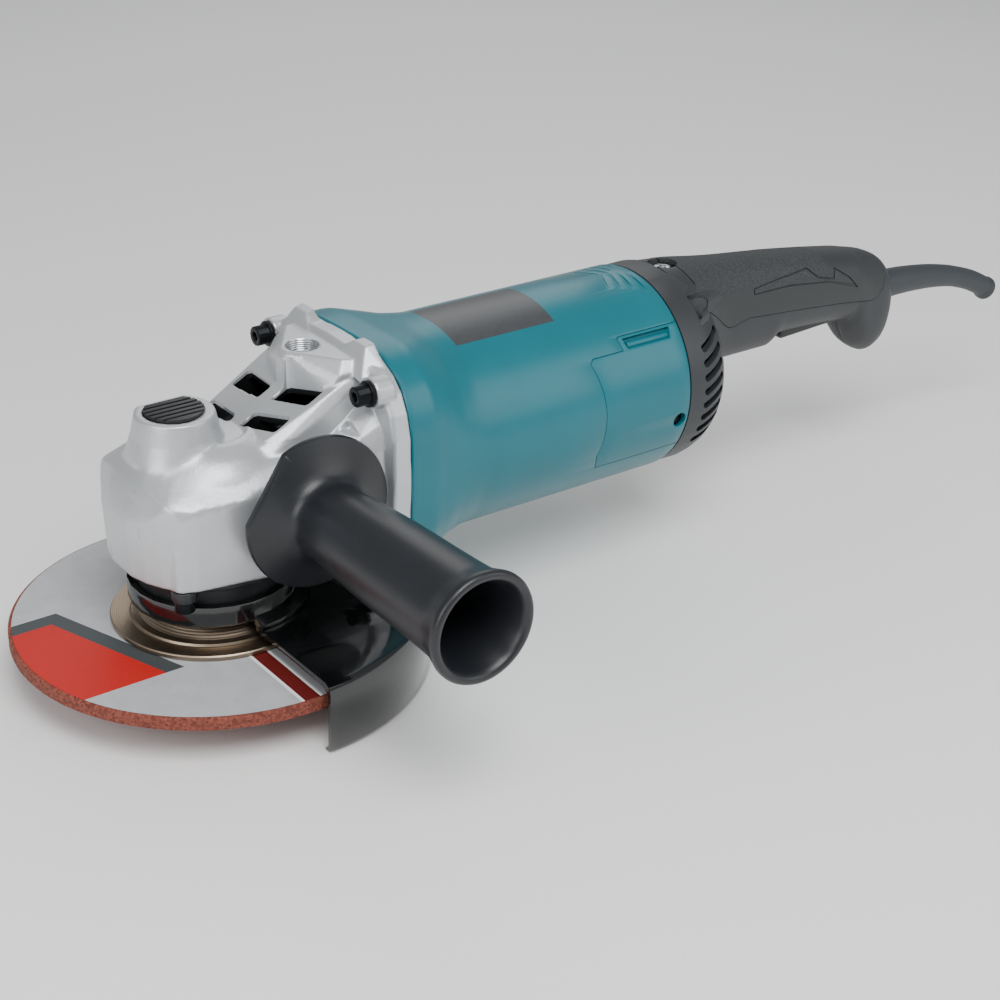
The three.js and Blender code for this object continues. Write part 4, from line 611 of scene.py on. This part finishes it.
def cylinder(radius, start, end, vertices=32):
    """A cylinder from one point to another."""
    deselect()
    a, b = Vector(start) * MM, Vector(end) * MM
    turn = (b - a).to_track_quat("Z", "Y").to_euler()
    bpy.ops.mesh.primitive_cylinder_add(
        vertices=vertices, radius=radius * MM, depth=(b - a).length, location=(a + b) / 2, rotation=turn
    )
    bpy.ops.object.transform_apply(location=True, rotation=True, scale=True)
    return bpy.context.object


def carve(piece, tool, operation="DIFFERENCE", solver="EXACT"):
    """Cuts or joins with another solid, which is used up."""
    activate(piece)
    modifier = piece.modifiers.new("Boolean", "BOOLEAN")
    modifier.operation = operation
    modifier.solver = solver
    modifier.object = tool
    bpy.ops.object.modifier_apply(modifier=modifier.name)
    bpy.data.objects.remove(tool)
    return piece


def skinned(rows):
    """A closed skin over a row of outlines with equal numbers of points: a shape that swells and
    tapers along its length, which no primitive gives."""
    count = len(rows[0])
    points = [tuple(value * MM for value in point) for row in rows for point in row]
    faces = []
    for row in range(len(rows) - 1):
        for i in range(count):
            a, b = row * count + i, row * count + (i + 1) % count
            faces.append((a, b, b + count, a + count))
    faces.append(tuple(reversed(range(count))))
    faces.append(tuple(range((len(rows) - 1) * count, len(rows) * count)))
    mesh = bpy.data.meshes.new("skin")
    mesh.from_pydata(points, [], faces)
    piece = bpy.data.objects.new("skin", mesh)
    bpy.context.scene.collection.objects.link(piece)
    activate(piece)
    bpy.ops.object.mode_set(mode="EDIT")
    bpy.ops.mesh.select_all(action="SELECT")
    bpy.ops.mesh.normals_make_consistent(inside=False)
    bpy.ops.object.mode_set(mode="OBJECT")
    return piece


def outline(x, half, top, bottom, square, inset=0.0, count=96):
    """A rounded outline across the tool, from an ellipse at squareness 2 to a rounded square."""
    middle, rise = (top + bottom) / 2, (top - bottom) / 2 - inset
    points = []
    for i in range(count):
        c, s = math.cos(2 * math.pi * i / count), math.sin(2 * math.pi * i / count)
        y = math.copysign(abs(c) ** (2 / square), c) * (half - inset)
        z = math.copysign(abs(s) ** (2 / square), s) * rise
        points.append((x, y, middle + z))
    return points


def eased(stations, x):
    """Smooth values between stations of [x, values...], by a monotone curve for each value."""
    xs = [s[0] for s in stations]
    i = max(0, min(len(xs) - 2, sum(1 for value in xs if value <= x) - 1))
    h = xs[i + 1] - xs[i]
    t = (x - xs[i]) / h

    def slope(k, column):
        if k <= 0 or k >= len(xs) - 1:
            j = min(max(k, 1), len(xs) - 1)
            return (stations[j][column] - stations[j - 1][column]) / (xs[j] - xs[j - 1])
        before = (stations[k][column] - stations[k - 1][column]) / (xs[k] - xs[k - 1])
        after = (stations[k + 1][column] - stations[k][column]) / (xs[k + 1] - xs[k])
        return 0.0 if before * after <= 0 else 2 * before * after / (before + after)

    values = []
    for column in range(1, len(stations[0])):
        a, b = stations[i][column], stations[i + 1][column]
        values.append(
            (2 * t ** 3 - 3 * t ** 2 + 1) * a
            + (t ** 3 - 2 * t ** 2 + t) * h * slope(i, column)
            + (3 * t ** 2 - 2 * t ** 3) * b
            + (t ** 3 - t ** 2) * h * slope(i + 1, column)
        )
    return values


# ------------------------------------------------------------------ wheel and its clamping
def make_wheel():
    """The wheel turned in one piece, with its printed paper disc on the upper face."""
    low, rim = wheel_low.z, WHEEL_RADIUS
    wheel = spun(
        [(BORE_RADIUS, 9.1), (26.5, 9.1), (32, low), (rim - 1.2, low), (rim, low + 0.9),
         (rim, WHEEL_FACE - 0.9), (rim - 1, WHEEL_FACE), (30.5, WHEEL_FACE), (25, HUB_TOP),
         (BORE_RADIUS, HUB_TOP), (BORE_RADIUS, 9.1)],
        128,
    )
    soften(wheel)
    dress(wheel, "wheel_body", wheel_abrasive, "spindle_group", ["grinding_wheel"])
    paper = spun(
        [(33, WHEEL_FACE), (rim - 1.6, WHEEL_FACE), (rim - 1.6, WHEEL_FACE + 0.14),
         (33, WHEEL_FACE + 0.14), (33, WHEEL_FACE)],
        128,
    )
    soften(paper)
    dress(paper, "wheel_paper", wheel_print, "spindle_group")


def make_flange():
    """The stepped inner flange: a thin rim, a groove and a raised cone."""
    rim = FLANGE_RADIUS
    flange = spun(
        [(7.3, 10.4), (10.95, 10.4), (10.95, 15.8), (26.5, 15.8), (31.5, 10.8), (rim - 0.5, 10.8),
         (rim, 11.3), (rim, 12.7), (rim - 0.5, 13.2), (rim - 8.4, 12.7), (rim - 8.9, 12.9),
         (rim - 9.4, 13.8), (33.4, 13.95), (32.6, 14.3), (29.4, 17.9), (28.6, 18.2), (14.2, 18.2),
         (14, 20.8), (7.3, 20.8), (7.3, 10.4)],
        128,
    )
    soften(flange, 25)
    dress(flange, "flange_turned", flange_steel, "spindle_group", ["inner_flange"])


make_wheel()
make_flange()
bevelled("lock_nut", plain_steel, "spindle_group", 0.4)
bevelled("spindle", plain_steel, "spindle_group", 0.3)


# ------------------------------------------------------------------ guard
def make_guard():
    """A spun cup cut in half, with its raw edges broken."""
    top, low, rim = guard_high.z, guard_low.z, guard_high.x
    wall = 2.4
    guard = spun(
        [(37.9, top - wall), (rim - wall - 3.2, top - wall), (rim - wall - 1, top - wall - 1),
         (rim - wall, top - wall - 3.2), (rim - wall, low + 3.4), (rim - wall - 0.8, low + 2),
         (rim - wall - 2.6, low + 1), (rim - wall - 1.8, low), (rim - 1, low + 0.8), (rim, low + 2.4),
         (rim, top - 4), (rim - 1.2, top - 1.2), (rim - 4, top), (37.9, top), (37.9, top - wall)],
        160,
    )
    carve(guard, rounded_block((-rim - 9, -rim - 9, low - 9), (0, rim + 9, top + 9), 0))
    apply_modifier(guard, "BEVEL", width=0.5 * MM, segments=2, limit_method="ANGLE",
                   angle_limit=math.radians(50))
    soften(guard, 40)
    dress(guard, "guard_sheet", guard_enamel, "guard", ["wheel_guard"])


make_guard()
bevelled("guard_collar", guard_enamel, "guard", 0.5)
bevelled("guard_clamp_screw", zinc_plate, "guard", 0.3)

# ------------------------------------------------------------------ head
def deck_window(side, front, rear):
    """A louvre window through the sloping deck, between edges given near the middle and outside."""
    inner, outer = 3.8, 24.2
    edge = [(front[0] - 0.2, inner), (rear[0] - 1.3, inner), (rear[0] + 0.2, inner + 1.4),
            (rear[1] + 0.2, outer - 1.4), (rear[1] - 1.3, outer), (front[1] + 0.8, outer),
            (front[1] - 0.2, outer - 0.9)]
    level = DECK_ZERO + DECK_SLOPE * front[0]
    return skinned([[(px, side * py, z) for px, py in edge] for z in (level - 8, level + 18)])


def make_gear_case():
    """The casting with a smoother boss and dome, melted over its edges, and its windows cut."""
    case = copy_of("gear_case")
    x = LOCK_BOSS_X
    boss = spun([(0, AXIS + 18), (22.5, AXIS + 17), (19.05, AXIS + 27), (17.05, AXIS + 36.3),
                 (0, AXIS + 36.3)], 96, (x, 0, 0))
    carve(boss, rounded_block((x - 40, 13, AXIS), (x + 40, 60, AXIS + 60), 0))
    carve(boss, cylinder(13.3, (x - 1.5, 0, AXIS), (x - 1.5, 0, AXIS + 60), 64))
    carve(case, boss, "UNION")
    dome = spun([(30, AXIS + 2), (37, AXIS + 3), (36.6, AXIS + 9), (34.6, AXIS + 14.5),
                 (31, AXIS + 19), (26.4, AXIS + 22.4), (21, AXIS + 24.4), (17.6, AXIS + 25),
                 (17.6, AXIS + 14), (30, AXIS + 2)], 96)
    carve(case, dome, "UNION")
    for side in (-1, 1):
        ring = cylinder(12.55, (BOLT_X, side * 40, BOLT_Z), (BOLT_X, side * 49, BOLT_Z), 64)
        carve(ring, cylinder(7.4, (BOLT_X, side * 30, BOLT_Z), (BOLT_X, side * 60, BOLT_Z), 48))
        carve(case, ring, "UNION")
    case = recast(case, "gear_case", silver_casting, "housing", 0.6, 6)
    melt(case, lambda x, y, z: x < 30 and AXIS - 4 < z < AXIS + 24 and math.hypot(x, y) > 22, 60)
    for side, front, rear in DECK_WINDOWS:
        carve(case, deck_window(side, front, rear), solver="MANIFOLD")
    soften(case, 50)


def make_top_thread():
    """The thread lining the hole in the top pad, as 14 turned grooves a millimetre apart."""
    wall, crest, root, turns = 7.32, 6.95, 7.28, 14
    profile = [(wall, TOP_PAD - turns)]
    for step in range(turns):
        profile += [(crest, TOP_PAD - 13.4 + step), (root, TOP_PAD - 12.9 + step)]
    profile += [(wall, TOP_PAD - 0.2), (wall, TOP_PAD - turns)]
    thread = spun(profile, 64, (TOP_HOLE_X, 0, 0))
    soften(thread, 20)
    dress(thread, "top_thread", zinc_plate, "housing")


make_gear_case()
make_top_thread()
bevelled("bearing_box", black_casting, "housing", 0.6)
for number in (1, 2, 3, 4):
    bevelled(f"bearing_box_screw_{number}", black_oxide, "housing", 0.25)
    bevelled(f"gear_case_screw_{number}", black_oxide, "housing", 0.3)
bevelled("lock_button", black_nylon, "lock", 0.45, 3)


# ------------------------------------------------------------------ motor housing
def barrel_stations():
    """[x, half-width, top, bottom, squareness] from the flange to the rear end."""
    top, low = housing_high.z, housing_low.z
    r = BARREL_RADIUS
    return [
        [SEAM, FLANGE_HALF, top, low, 3.3],
        [SEAM + 11, FLANGE_HALF, top, low, 3.3],
        [SEAM + 20, FLANGE_HALF - 1.4, top - 1.2, low + 0.7, 2.9],
        [SEAM + 33, r + 1, AXIS + r + 1, AXIS - r - 0.9, 2.2],
        [SEAM + 47, r, AXIS + r, AXIS - r, 2.0],
        [BARREL_END - 2, r, AXIS + r, AXIS - r, 2.0],
        [BARREL_END, r - 1, AXIS + r - 1, AXIS - r + 1, 2.0],
    ]


def barrel(inset, past=0.0):
    stations = barrel_stations()
    start, end = SEAM, BARREL_END
    xs = [start, start + 0.6, start + 3, start + 9]
    xs += [start + 11 + i * 2 for i in range(20)]
    xs += [start + 60, start + 90, start + 120, end - 8, end - 2, end - 1, end]
    rows = []
    for x in xs:
        half, top, low, square = eased(stations, x)
        trim = inset + (0.7 if x == start and not past else 0)
        rows.append(outline(x, half, top, low, square, trim, 128))
    if past:
        rows.insert(0, [(start - past, y, z) for _, y, z in rows[0]])
        rows.append([(end + past, y, z) for _, y, z in rows[-1]])
    return skinned(rows)


def upright_prism(points, y0, y1):
    """A solid with an outline of [x, z] pairs, from one y to another."""
    return skinned([[(x, y0, z) for x, z in points], [(x, y1, z) for x, z in points]])


def cover_outline(gap):
    """The side cover's edge: straight below, stepped above, with a slightly hollow front."""
    x, low, high = cover_low.x - gap, cover_low.z - gap, cover_high.z - 5.5 + gap
    step = cover_high.z + gap
    points = [(x + 4, low), (BARREL_END + 6, low), (BARREL_END + 6, step), (x + 20.5, step),
              (x + 19.5, step - 0.6), (x + 20.5, high), (x + 2, high), (x, high - 2)]
    for i in range(1, 12):
        t = i / 12
        points.append((x + 4.5 * math.sin(math.pi * t) ** 0.8, high - 2 - t * (high - 6 - low)))
    return points


def about_axis(piece, x, angle):
    """Turns a piece made over the origin to stand on the barrel at an angle from the top."""
    up = math.radians(angle)
    lift = Matrix.Rotation(up, 4, "X") @ Matrix.Translation(Vector((0, 0, BARREL_RADIUS)) * MM)
    piece.data.transform(Matrix.Translation(Vector((x, 0, AXIS)) * MM) @ lift)
    return piece


def make_housing():
    """The teal barrel, open for the two side covers, with shallow grip lines across its rear."""
    housing = carve(barrel(0), barrel(3, 2))
    for side in (-1, 1):
        y0, y1 = sorted((side * 20, side * 80))
        carve(housing, upright_prism(cover_outline(0.35), y0, y1))
    for x, angle, skew in ((-21, 4, 24), (-15.5, 5.5, 17), (-10.5, 8, 10), (-5.5, 12, 3)):
        for side in (-1, 1):
            line = rounded_block((-0.6, -10, -0.7), (0.6, 10, 6), 0.5, 2)
            line.data.transform(Matrix.Rotation(math.radians(-side * skew), 4, "Z"))
            carve(housing, about_axis(line, BARREL_END + x, side * angle + side * 3))
    apply_modifier(housing, "BEVEL", width=0.45 * MM, segments=2, limit_method="ANGLE",
                   angle_limit=math.radians(42))
    soften(housing, 35)
    dress(housing, "motor_barrel", teal_nylon, "housing", ["motor_housing"])


def make_cover(name, side):
    cover = carve(barrel(0), barrel(3, 2))
    y0, y1 = sorted((side * 20, side * 80))
    carve(cover, upright_prism(cover_outline(0), y0, y1), "INTERSECT")
    x, z = cover_high.x - 6, AXIS - 10
    carve(cover, cylinder(3.7, (x, side * 30, z), (x, side * 70, z)))
    # The latch pocket at the upper rear corner, with its round bar.
    front, rear = cover_low.x + 23.5, cover_high.x - 6
    sill, lintel = AXIS + 29.6, AXIS + 34.2
    pocket = [(front, sill), (rear - 1.5, sill), (rear, lintel), (front - 1.5, lintel)]
    carve(cover, carve(upright_prism(pocket, y0, y1), barrel(2.2, 4)))
    angle = math.radians(51.5)
    reach = BARREL_RADIUS - 2.2
    y, z = side * reach * math.sin(angle), AXIS + reach * math.cos(angle)
    carve(cover, cylinder(1.7, (front + 0.6, y, z), (rear - 2, y, z), 24), "UNION")
    apply_modifier(cover, "BEVEL", width=0.45 * MM, segments=2, limit_method="ANGLE",
                   angle_limit=math.radians(42))
    soften(cover, 35)
    dress(cover, f"cover_{name}", teal_nylon, "housing", [f"side_cover_{name}"])
    bevelled(f"side_cover_screw_{name}", black_oxide, "housing", 0.25)


def make_label():
    """A blank foil let into the top of the barrel."""
    front, rear, right, left = 113, 170, -24, 12
    under, over = BARREL_RADIUS - 0.2, BARREL_RADIUS + 0.12
    foil = spun([(under, front), (over, front), (over, rear), (under, rear), (under, front)],
                160, (0, 0, AXIS), (1, 0, 0), (0, 0, 1))
    keep = rounded_block((front - 13, right, AXIS + 20), (rear + 20, left, AXIS + 80), 0)
    carve(foil, keep, "INTERSECT")
    soften(foil)
    dress(foil, "rating_foil", label_foil, "housing")


make_housing()
make_cover("left", 1)
make_cover("right", -1)
make_label()


# ------------------------------------------------------------------ bar handle and rear cover
# [distance from the front face, half-width, top, bottom, squareness], heights above the axis.
HANDLE = [
    [0, 33, 50, -13, 2.2],
    [9, 28.5, 49.6, -10, 2.3],
    [17, 24.5, 49, -8, 2.4],
    [28, 20.5, 47.5, -8, 2.5],
    [42, 18.7, 45.5, -8, 2.6],
    [72, 18.5, 42, -8, 2.6],
    [80, 18.5, 41, -2.5, 2.6],
    [133, 18, 33, -5, 2.6],
    [138, 17.7, 32, -14, 2.5],
    [145, 17, 30.5, -24, 2.5],
    [153, 16.5, 28, -28.3, 2.4],
    [159, 15.5, 24.5, -26, 2.4],
    [163.5, 13, 19, -18, 2.3],
    [166, 9.5, 13, -9, 2.2],
]


def handle_loft(inset, lead=0.0):
    xs = [i * 2.5 for i in range(53)] + [132.5 + i * 1.25 for i in range(22)]
    xs += [160.5, 162, 163.3, 164.4, 165.3, 166]
    rows = []
    for along in xs:
        half, top, low, square = eased(HANDLE, along)
        near_end = max(0.0, (along - 150) / 16)
        trim = inset * (1 - 0.25 * near_end)
        x = HANDLE_START + along - inset * near_end ** 3
        rows.append(outline(x, half, AXIS + top, AXIS + low, square, trim, 72))
    if lead:
        rows.insert(0, [(x - lead, y, z) for x, y, z in rows[0]])
    return skinned(rows)


def grip_outline(gap):
    """The soft grip's edge, seen from the side."""
    x0, z0 = HANDLE_START, AXIS - gap
    side = [(2 - gap, 70), (12 - gap, 43), (7 - gap, 38), (9, 35), (14, 32), (20, 28), (27, 23),
            (33, 17.6), (37, 14.8), (41, 14.4), (46, 15.8), (52, 16.8), (70, 15.2), (95, 13),
            (120, 10.4), (144, 7), (148, 8), (152.5 + gap, 12), (155 + gap, 17), (154.5 + gap, 22),
            (151.5 + gap, 27.5), (146.5 + gap, 32.5), (141 + gap, 36), (134 + gap, 70)]
    return [(x0 + x, z0 + z) for x, z in side]


def neck_scoop():
    """The hollow on each side of the handle's neck, wide at the ring and running out rearwards."""
    rows = []
    # Distance along, middle outwards and upwards, and half the depth and height of each outline.
    for along, out, up, deep, tall in (
        (-3, 33, 35, 10.5, 9), (6, 32, 34.5, 10, 10), (13, 28.8, 34, 8.6, 10), (20, 26, 34, 7.2, 8.6),
        (28, 23.2, 35, 5.2, 6.2), (35, 21.2, 36, 3.2, 3.8), (41, 20.2, 36.6, 1.2, 1.6),
    ):
        rows.append([(HANDLE_START + along, out + deep * math.cos(i * math.pi / 16),
                      AXIS + up + tall * math.sin(i * math.pi / 16)) for i in range(32)])
    return rows


def inlay_groove(side):
    """The outline of the crescent inlay on one side of the soft grip."""
    edge = [(54, 28.2), (80, 27.8), (107.7, 24.3), (130.6, 17.1), (124, 24), (113.5, 30.8), (111.5, 26),
            (100.5, 28.6), (93.4, 34.3), (75, 33.4), (54, 31.6)]
    inner = [(54.8, 28.9), (80, 28.6), (108, 25.1), (126.8, 19.8), (123.4, 23.4), (114, 29.3), (112, 25),
             (100, 27.8), (93.1, 33.4), (75, 32.6), (54.8, 31)]
    y0, y1 = sorted((side * 8, side * 40))
    place = [[(HANDLE_START + a, AXIS + u) for a, u in line] for line in (edge, inner)]
    ring = carve(upright_prism(place[0], y0, y1), upright_prism(place[1], y0 - 1, y1 + 1))
    return carve(ring, handle_loft(0.5, 4))


def make_handle():
    """Both halves of the handle as one piece with the parting line cut in, and the soft grip."""
    body = handle_loft(0)
    carve(body, upright_prism(grip_outline(0.35), -60, 60))
    carve(body, handle_loft(2.7), "UNION")
    carve(body, handle_loft(5.2, 3))
    trigger_low, trigger_high = span("trigger")
    slot = rounded_block((trigger_low.x - 1, trigger_low.y - 0.6, AXIS - 30),
                         (trigger_high.x + 1.5, trigger_high.y + 0.6, AXIS + 9), 0)
    carve(body, slot)
    carve(body, cylinder(8.7, (HANDLE_END - 20, 0, AXIS + 5.5), (HANDLE_END + 5, 0, AXIS + 5.5), 48))
    for x, z in ((HANDLE_START + 48, AXIS + 2), (HANDLE_END - 26, AXIS - 12)):
        carve(body, cylinder(3.7, (x, 12, z), (x, 40, z)))
    carve(body, rounded_block((HANDLE_START - 2, -0.17, AXIS - 40), (HANDLE_END + 2, 0.17, AXIS + 12), 0))
    neck_low, neck_high = span("handle_neck_screw")
    x = (neck_low.x + neck_high.x) / 2
    floor = neck_high.z - 3.2
    carve(body, cylinder(9.4, (x, 0, floor - 5), (x, 0, floor + 1)), "UNION")
    carve(body, cylinder(7.4, (x, 0, floor), (x, 0, floor + 14), 64))
    apply_modifier(body, "BEVEL", width=0.35 * MM, segments=2, limit_method="ANGLE",
                   angle_limit=math.radians(45))
    soften(body, 35)
    dress(body, "handle_body", charcoal_nylon, "housing", ["handle_half_left", "handle_half_right"])
    grip = handle_loft(-0.15)
    carve(grip, upright_prism(grip_outline(0), -60, 60), "INTERSECT")
    carve(grip, handle_loft(2.4, 4))
    carve(grip, cylinder(7.4, (x, 0, floor), (x, 0, floor + 14), 64))
    for side in (-1, 1):
        carve(grip, inlay_groove(side))
        for piece in (body, grip):
            hollow = [[(px, side * py, pz) for px, py, pz in row] for row in neck_scoop()]
            carve(piece, skinned(hollow))
    apply_modifier(grip, "BEVEL", width=0.6 * MM, segments=3, limit_method="ANGLE",
                   angle_limit=math.radians(45))
    soften(grip, 35)
    dress(grip, "grip_skin", soft_elastomer, "housing", ["soft_grip"])


def make_rear_cover():
    """The domed vent ring behind the barrel, with slanted slots on both sides."""
    x, r = REAR_COVER_START, BARREL_RADIUS
    ring = spun(
        [(33.4, x + 30), (41.4, x + 26), (46, x + 19), (47.4, x + 12), (47.6, x), (r - 0.6, x),
         (r - 0.4, x + 12), (r - 1.1, x + 16), (r - 2.4, x + 20), (r - 4.6, x + 24), (r - 7.6, x + 27.5),
         (r - 11, x + 30.2), (36, x + 32.2), (20, x + 32.8), (0, x + 33), (0, x + 30), (33.4, x + 30)],
        128, (0, 0, AXIS), (1, 0, 0), (0, 0, 1),
    )
    carve(ring, handle_loft(-0.35, 8))
    passage = skinned([
        [(x - 4, 26, AXIS + 30), (x - 4, -26, AXIS + 30), (x - 4, -26, AXIS - 4), (x - 4, 26, AXIS - 4)],
        [(x + 34, 14, AXIS + 30), (x + 34, -14, AXIS + 30), (x + 34, -14, AXIS), (x + 34, 14, AXIS)],
    ])
    carve(ring, passage)
    for side in (-1, 1):
        y0, y1 = sorted((side * 18, side * 60))
        notch = upright_prism([(x + 13.5, AXIS + 31), (x + 40, AXIS + 33), (x + 40, AXIS + 46),
                               (x + 13.5, AXIS + 43)], y0, y1)
        carve(ring, notch)
        for number in range(8):
            y0, y1 = sorted((side * 20, side * 70))
            slot = rounded_block((-8, y0, -1.9), (8, y1, 1.9), 1.5, 3)
            slot.rotation_euler = (0, math.radians(-22), 0)
            slot.location = Vector((x + 16.5, 0, AXIS + 24.2 - 7 * number)) * MM
            activate(slot)
            bpy.ops.object.transform_apply(location=True, rotation=True, scale=True)
            carve(ring, slot)
    apply_modifier(ring, "BEVEL", width=0.4 * MM, segments=2, limit_method="ANGLE",
                   angle_limit=math.radians(45))
    soften(ring, 35)
    dress(ring, "vent_ring", charcoal_nylon, "housing", ["rear_cover"])


def along_route(points, steps):
    """Points and directions along a smooth line through given [x, z] points."""
    route = []
    for step in range(steps + 1):
        x = points[0][0] + (points[-1][0] - points[0][0]) * step / steps
        z = eased(points, x)[0]
        ahead = eased(points, min(x + 0.5, points[-1][0]))[0]
        behind = eased(points, max(x - 0.5, points[0][0]))[0]
        slope = (ahead - behind) / (min(x + 0.5, points[-1][0]) - max(x - 0.5, points[0][0]))
        route.append((x, z, math.atan(slope)))
    return route


def tube(points, radius_at, steps=48, count=40):
    rows = []
    for x, z, slope in along_route(points, steps):
        r = radius_at((x - points[0][0]) / (points[-1][0] - points[0][0]))
        row = []
        for i in range(count):
            angle = 2 * math.pi * i / count
            up = r * math.sin(angle)
            row.append((x - up * math.sin(slope), r * math.cos(angle), z + up * math.cos(slope)))
        rows.append(row)
    return skinned(rows)


def make_cord_guard():
    """The moulded sleeve that keeps the cord from kinking, thicker at its root, open at its end."""
    end = HANDLE_END
    route = [[end - 13, AXIS + 5.5], [end, AXIS + 5.5], [end + 14, AXIS + 5.2], [end + 34, AXIS + 3.6],
             [end + 54, AXIS + 0.4], [end + 72, AXIS - 4.8], [end + 84, AXIS - 10], [end + 92.5, AXIS - 15]]

    def radius(share):
        return 8.2 - 2.3 * min(1.0, max(0.0, (share - 0.12) / 0.6)) + (0.8 if share > 0.975 else 0)

    sleeve = tube(route, radius, 60)
    mouth = tube([[x, z] for x, z in route[4:]], lambda share: 3.9, 24, 32)
    shift = Matrix.Translation(Vector((1.5, 0, -0.9)) * MM)
    mouth.data.transform(shift)
    carve(sleeve, mouth)
    soften(sleeve, 40)
    dress(sleeve, "cord_sleeve", cord_rubber, "housing", ["cord_guard"])


make_handle()
make_rear_cover()
make_cord_guard()
bevelled("trigger", black_nylon, "trigger", 0.8, 3)
bevelled("handle_neck_screw", zinc_plate, "housing", 0.3)


# ------------------------------------------------------------------ side handle
def make_side_handle():
    """A hollow grip with a bell-shaped end and a hand-guard flange, cut flat on one side."""
    end, back = grip_low.y, grip_high.y
    swell = [[end + 3, 23.9], [end + 7, 22.6], [end + 13, 21.1], [end + 30, 20.3], [end + 60, 19.6],
             [end + 90, 18.2], [back - 15, 17], [back - 12, 17.2], [back - 9.5, 18.8], [back - 7.5, 21.6],
             [back - 5.5, 26.4], [back - 4, 31], [back - 2.9, 34.1]]
    profile = [(0, end + 92), (8, end + 91), (9.5, end + 88), (11, end + 40), (15, end + 18),
               (17.5, end + 8), (19.2, end + 3), (20, end + 1.2), (21, end + 0.2), (22.4, end),
               (23.4, end + 0.5), (23.9, end + 1.6)]
    steps = 60
    for i in range(steps + 1):
        y = swell[0][0] + (swell[-1][0] - swell[0][0]) * i / steps
        profile.append((eased(swell, y)[0], y))
    profile += [(34.5, back - 2), (34.6, back - 1.2), (34.4, back - 0.3), (34, back), (6.6, back),
                (6.6, back - 17.7), (0, back - 17.7)]
    grip = spun(profile, 128, (BOLT_X, 0, BOLT_Z), (0, 1, 0), (1, 0, 0))
    flat = rounded_block((-60, back - 40, 30), (60, back + 5, 90), 0)
    tilt = Matrix.Rotation(math.radians(-56.5), 4, "Y")
    flat.data.transform(Matrix.Translation(Vector((BOLT_X, 0, BOLT_Z)) * MM) @ tilt)
    carve(grip, flat)
    apply_modifier(grip, "BEVEL", width=0.5 * MM, segments=2, limit_method="ANGLE",
                   angle_limit=math.radians(50))
    soften(grip, 40)
    dress(grip, "side_grip", handle_plastic, "side_handle", ["side_handle_grip"])


make_side_handle()
bevelled("side_handle_bolt", zinc_plate, "side_handle", 0.3)

# ------------------------------------------------------------------ pieces inside
INSIDE = {
    "ring_gear": bearing_steel,
    "pinion": bearing_steel,
    "spindle_bearing": bearing_steel,
    "needle_bearing": bearing_steel,
    "front_bearing": bearing_steel,
    "rear_bearing": bearing_steel,
    "bearing_retainer": zinc_plate,
    "lock_pin": bearing_steel,
    "lock_spring": zinc_plate,
    "armature_shaft": plain_steel,
    "armature_core": laminated_steel,
    "field_core": laminated_steel,
    "armature_windings_front": copper_wire,
    "armature_windings_rear": copper_wire,
    "commutator": copper_wire,
    "field_coil_upper": copper_wire,
    "field_coil_lower": copper_wire,
    "cooling_fan": black_nylon,
    "fan_baffle": black_nylon,
    "brush_holder_left": brass_strip,
    "brush_holder_right": brass_strip,
    "carbon_brush_left": brush_graphite,
    "carbon_brush_right": brush_graphite,
    "power_switch": black_nylon,
    "cord_clamp": black_nylon,
    "handle_screw_1": black_oxide,
    "handle_screw_2": black_oxide,
}
for node, material in INSIDE.items():
    NODES[node].data.materials.clear()
    NODES[node].data.materials.append(material)


# ------------------------------------------------------------------ floor, light and camera
def make_stage():
    low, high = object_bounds()
    deselect()
    bpy.ops.mesh.primitive_plane_add(size=6, location=(0.2, 0, low.z - 0.0004))
    floor = bpy.context.object
    floor.name = "floor"
    material, _, _, _ = new_material("floor, white paper", "#f3f3f2", 0.9)
    floor.data.materials.append(material)
    world = bpy.data.worlds.new("studio")
    bpy.context.scene.world = world
    world.use_nodes = True
    world.node_tree.nodes["Background"].inputs[0].default_value = linear("#f4f6f8")
    world.node_tree.nodes["Background"].inputs[1].default_value = 0.42
    middle = (low + high) / 2
    lamps = [("key", (-0.35, -0.75, 1.25), 0.9, 21), ("fill", (0.9, -1.2, 0.7), 1.1, 8),
             ("rim", (0.7, 1.1, 1.0), 0.9, 4), ("front", (-1.2, -0.3, 0.5), 0.7, 6)]
    for name, offset, size, power in lamps:
        deselect()
        bpy.ops.object.light_add(type="AREA", location=middle + Vector(offset))
        lamp = bpy.context.object
        lamp.name = name
        lamp.data.size = size
        lamp.data.energy = power
        lamp.rotation_euler = (-Vector(offset)).to_track_quat("-Z", "Y").to_euler()


def make_camera():
    """A long lens from the front right, above the tool."""
    azimuth, elevation, roll = (math.radians(v) for v in (-37.32, 26.51, 1.45))
    aim, distance = Vector((159.69, 0, 20.57)), 954.2
    back = Vector((math.sin(azimuth) * math.cos(elevation), -math.cos(azimuth) * math.cos(elevation),
                   math.sin(elevation)))
    right = Vector((math.cos(azimuth), math.sin(azimuth), 0))
    up = back.cross(right)
    turned_right = math.cos(roll) * right + math.sin(roll) * up
    turned_up = math.cos(roll) * up - math.sin(roll) * right
    deselect()
    bpy.ops.object.camera_add(location=(aim + back * distance) * MM)
    camera = bpy.context.object
    camera.rotation_mode = "QUATERNION"
    camera.rotation_quaternion = Matrix((turned_right, turned_up, back)).transposed().to_quaternion()
    camera.data.sensor_width = 36
    camera.data.lens = 70.05
    camera.data.clip_start = 0.01
    bpy.context.scene.camera = camera


make_stage()
make_camera()
deselect()
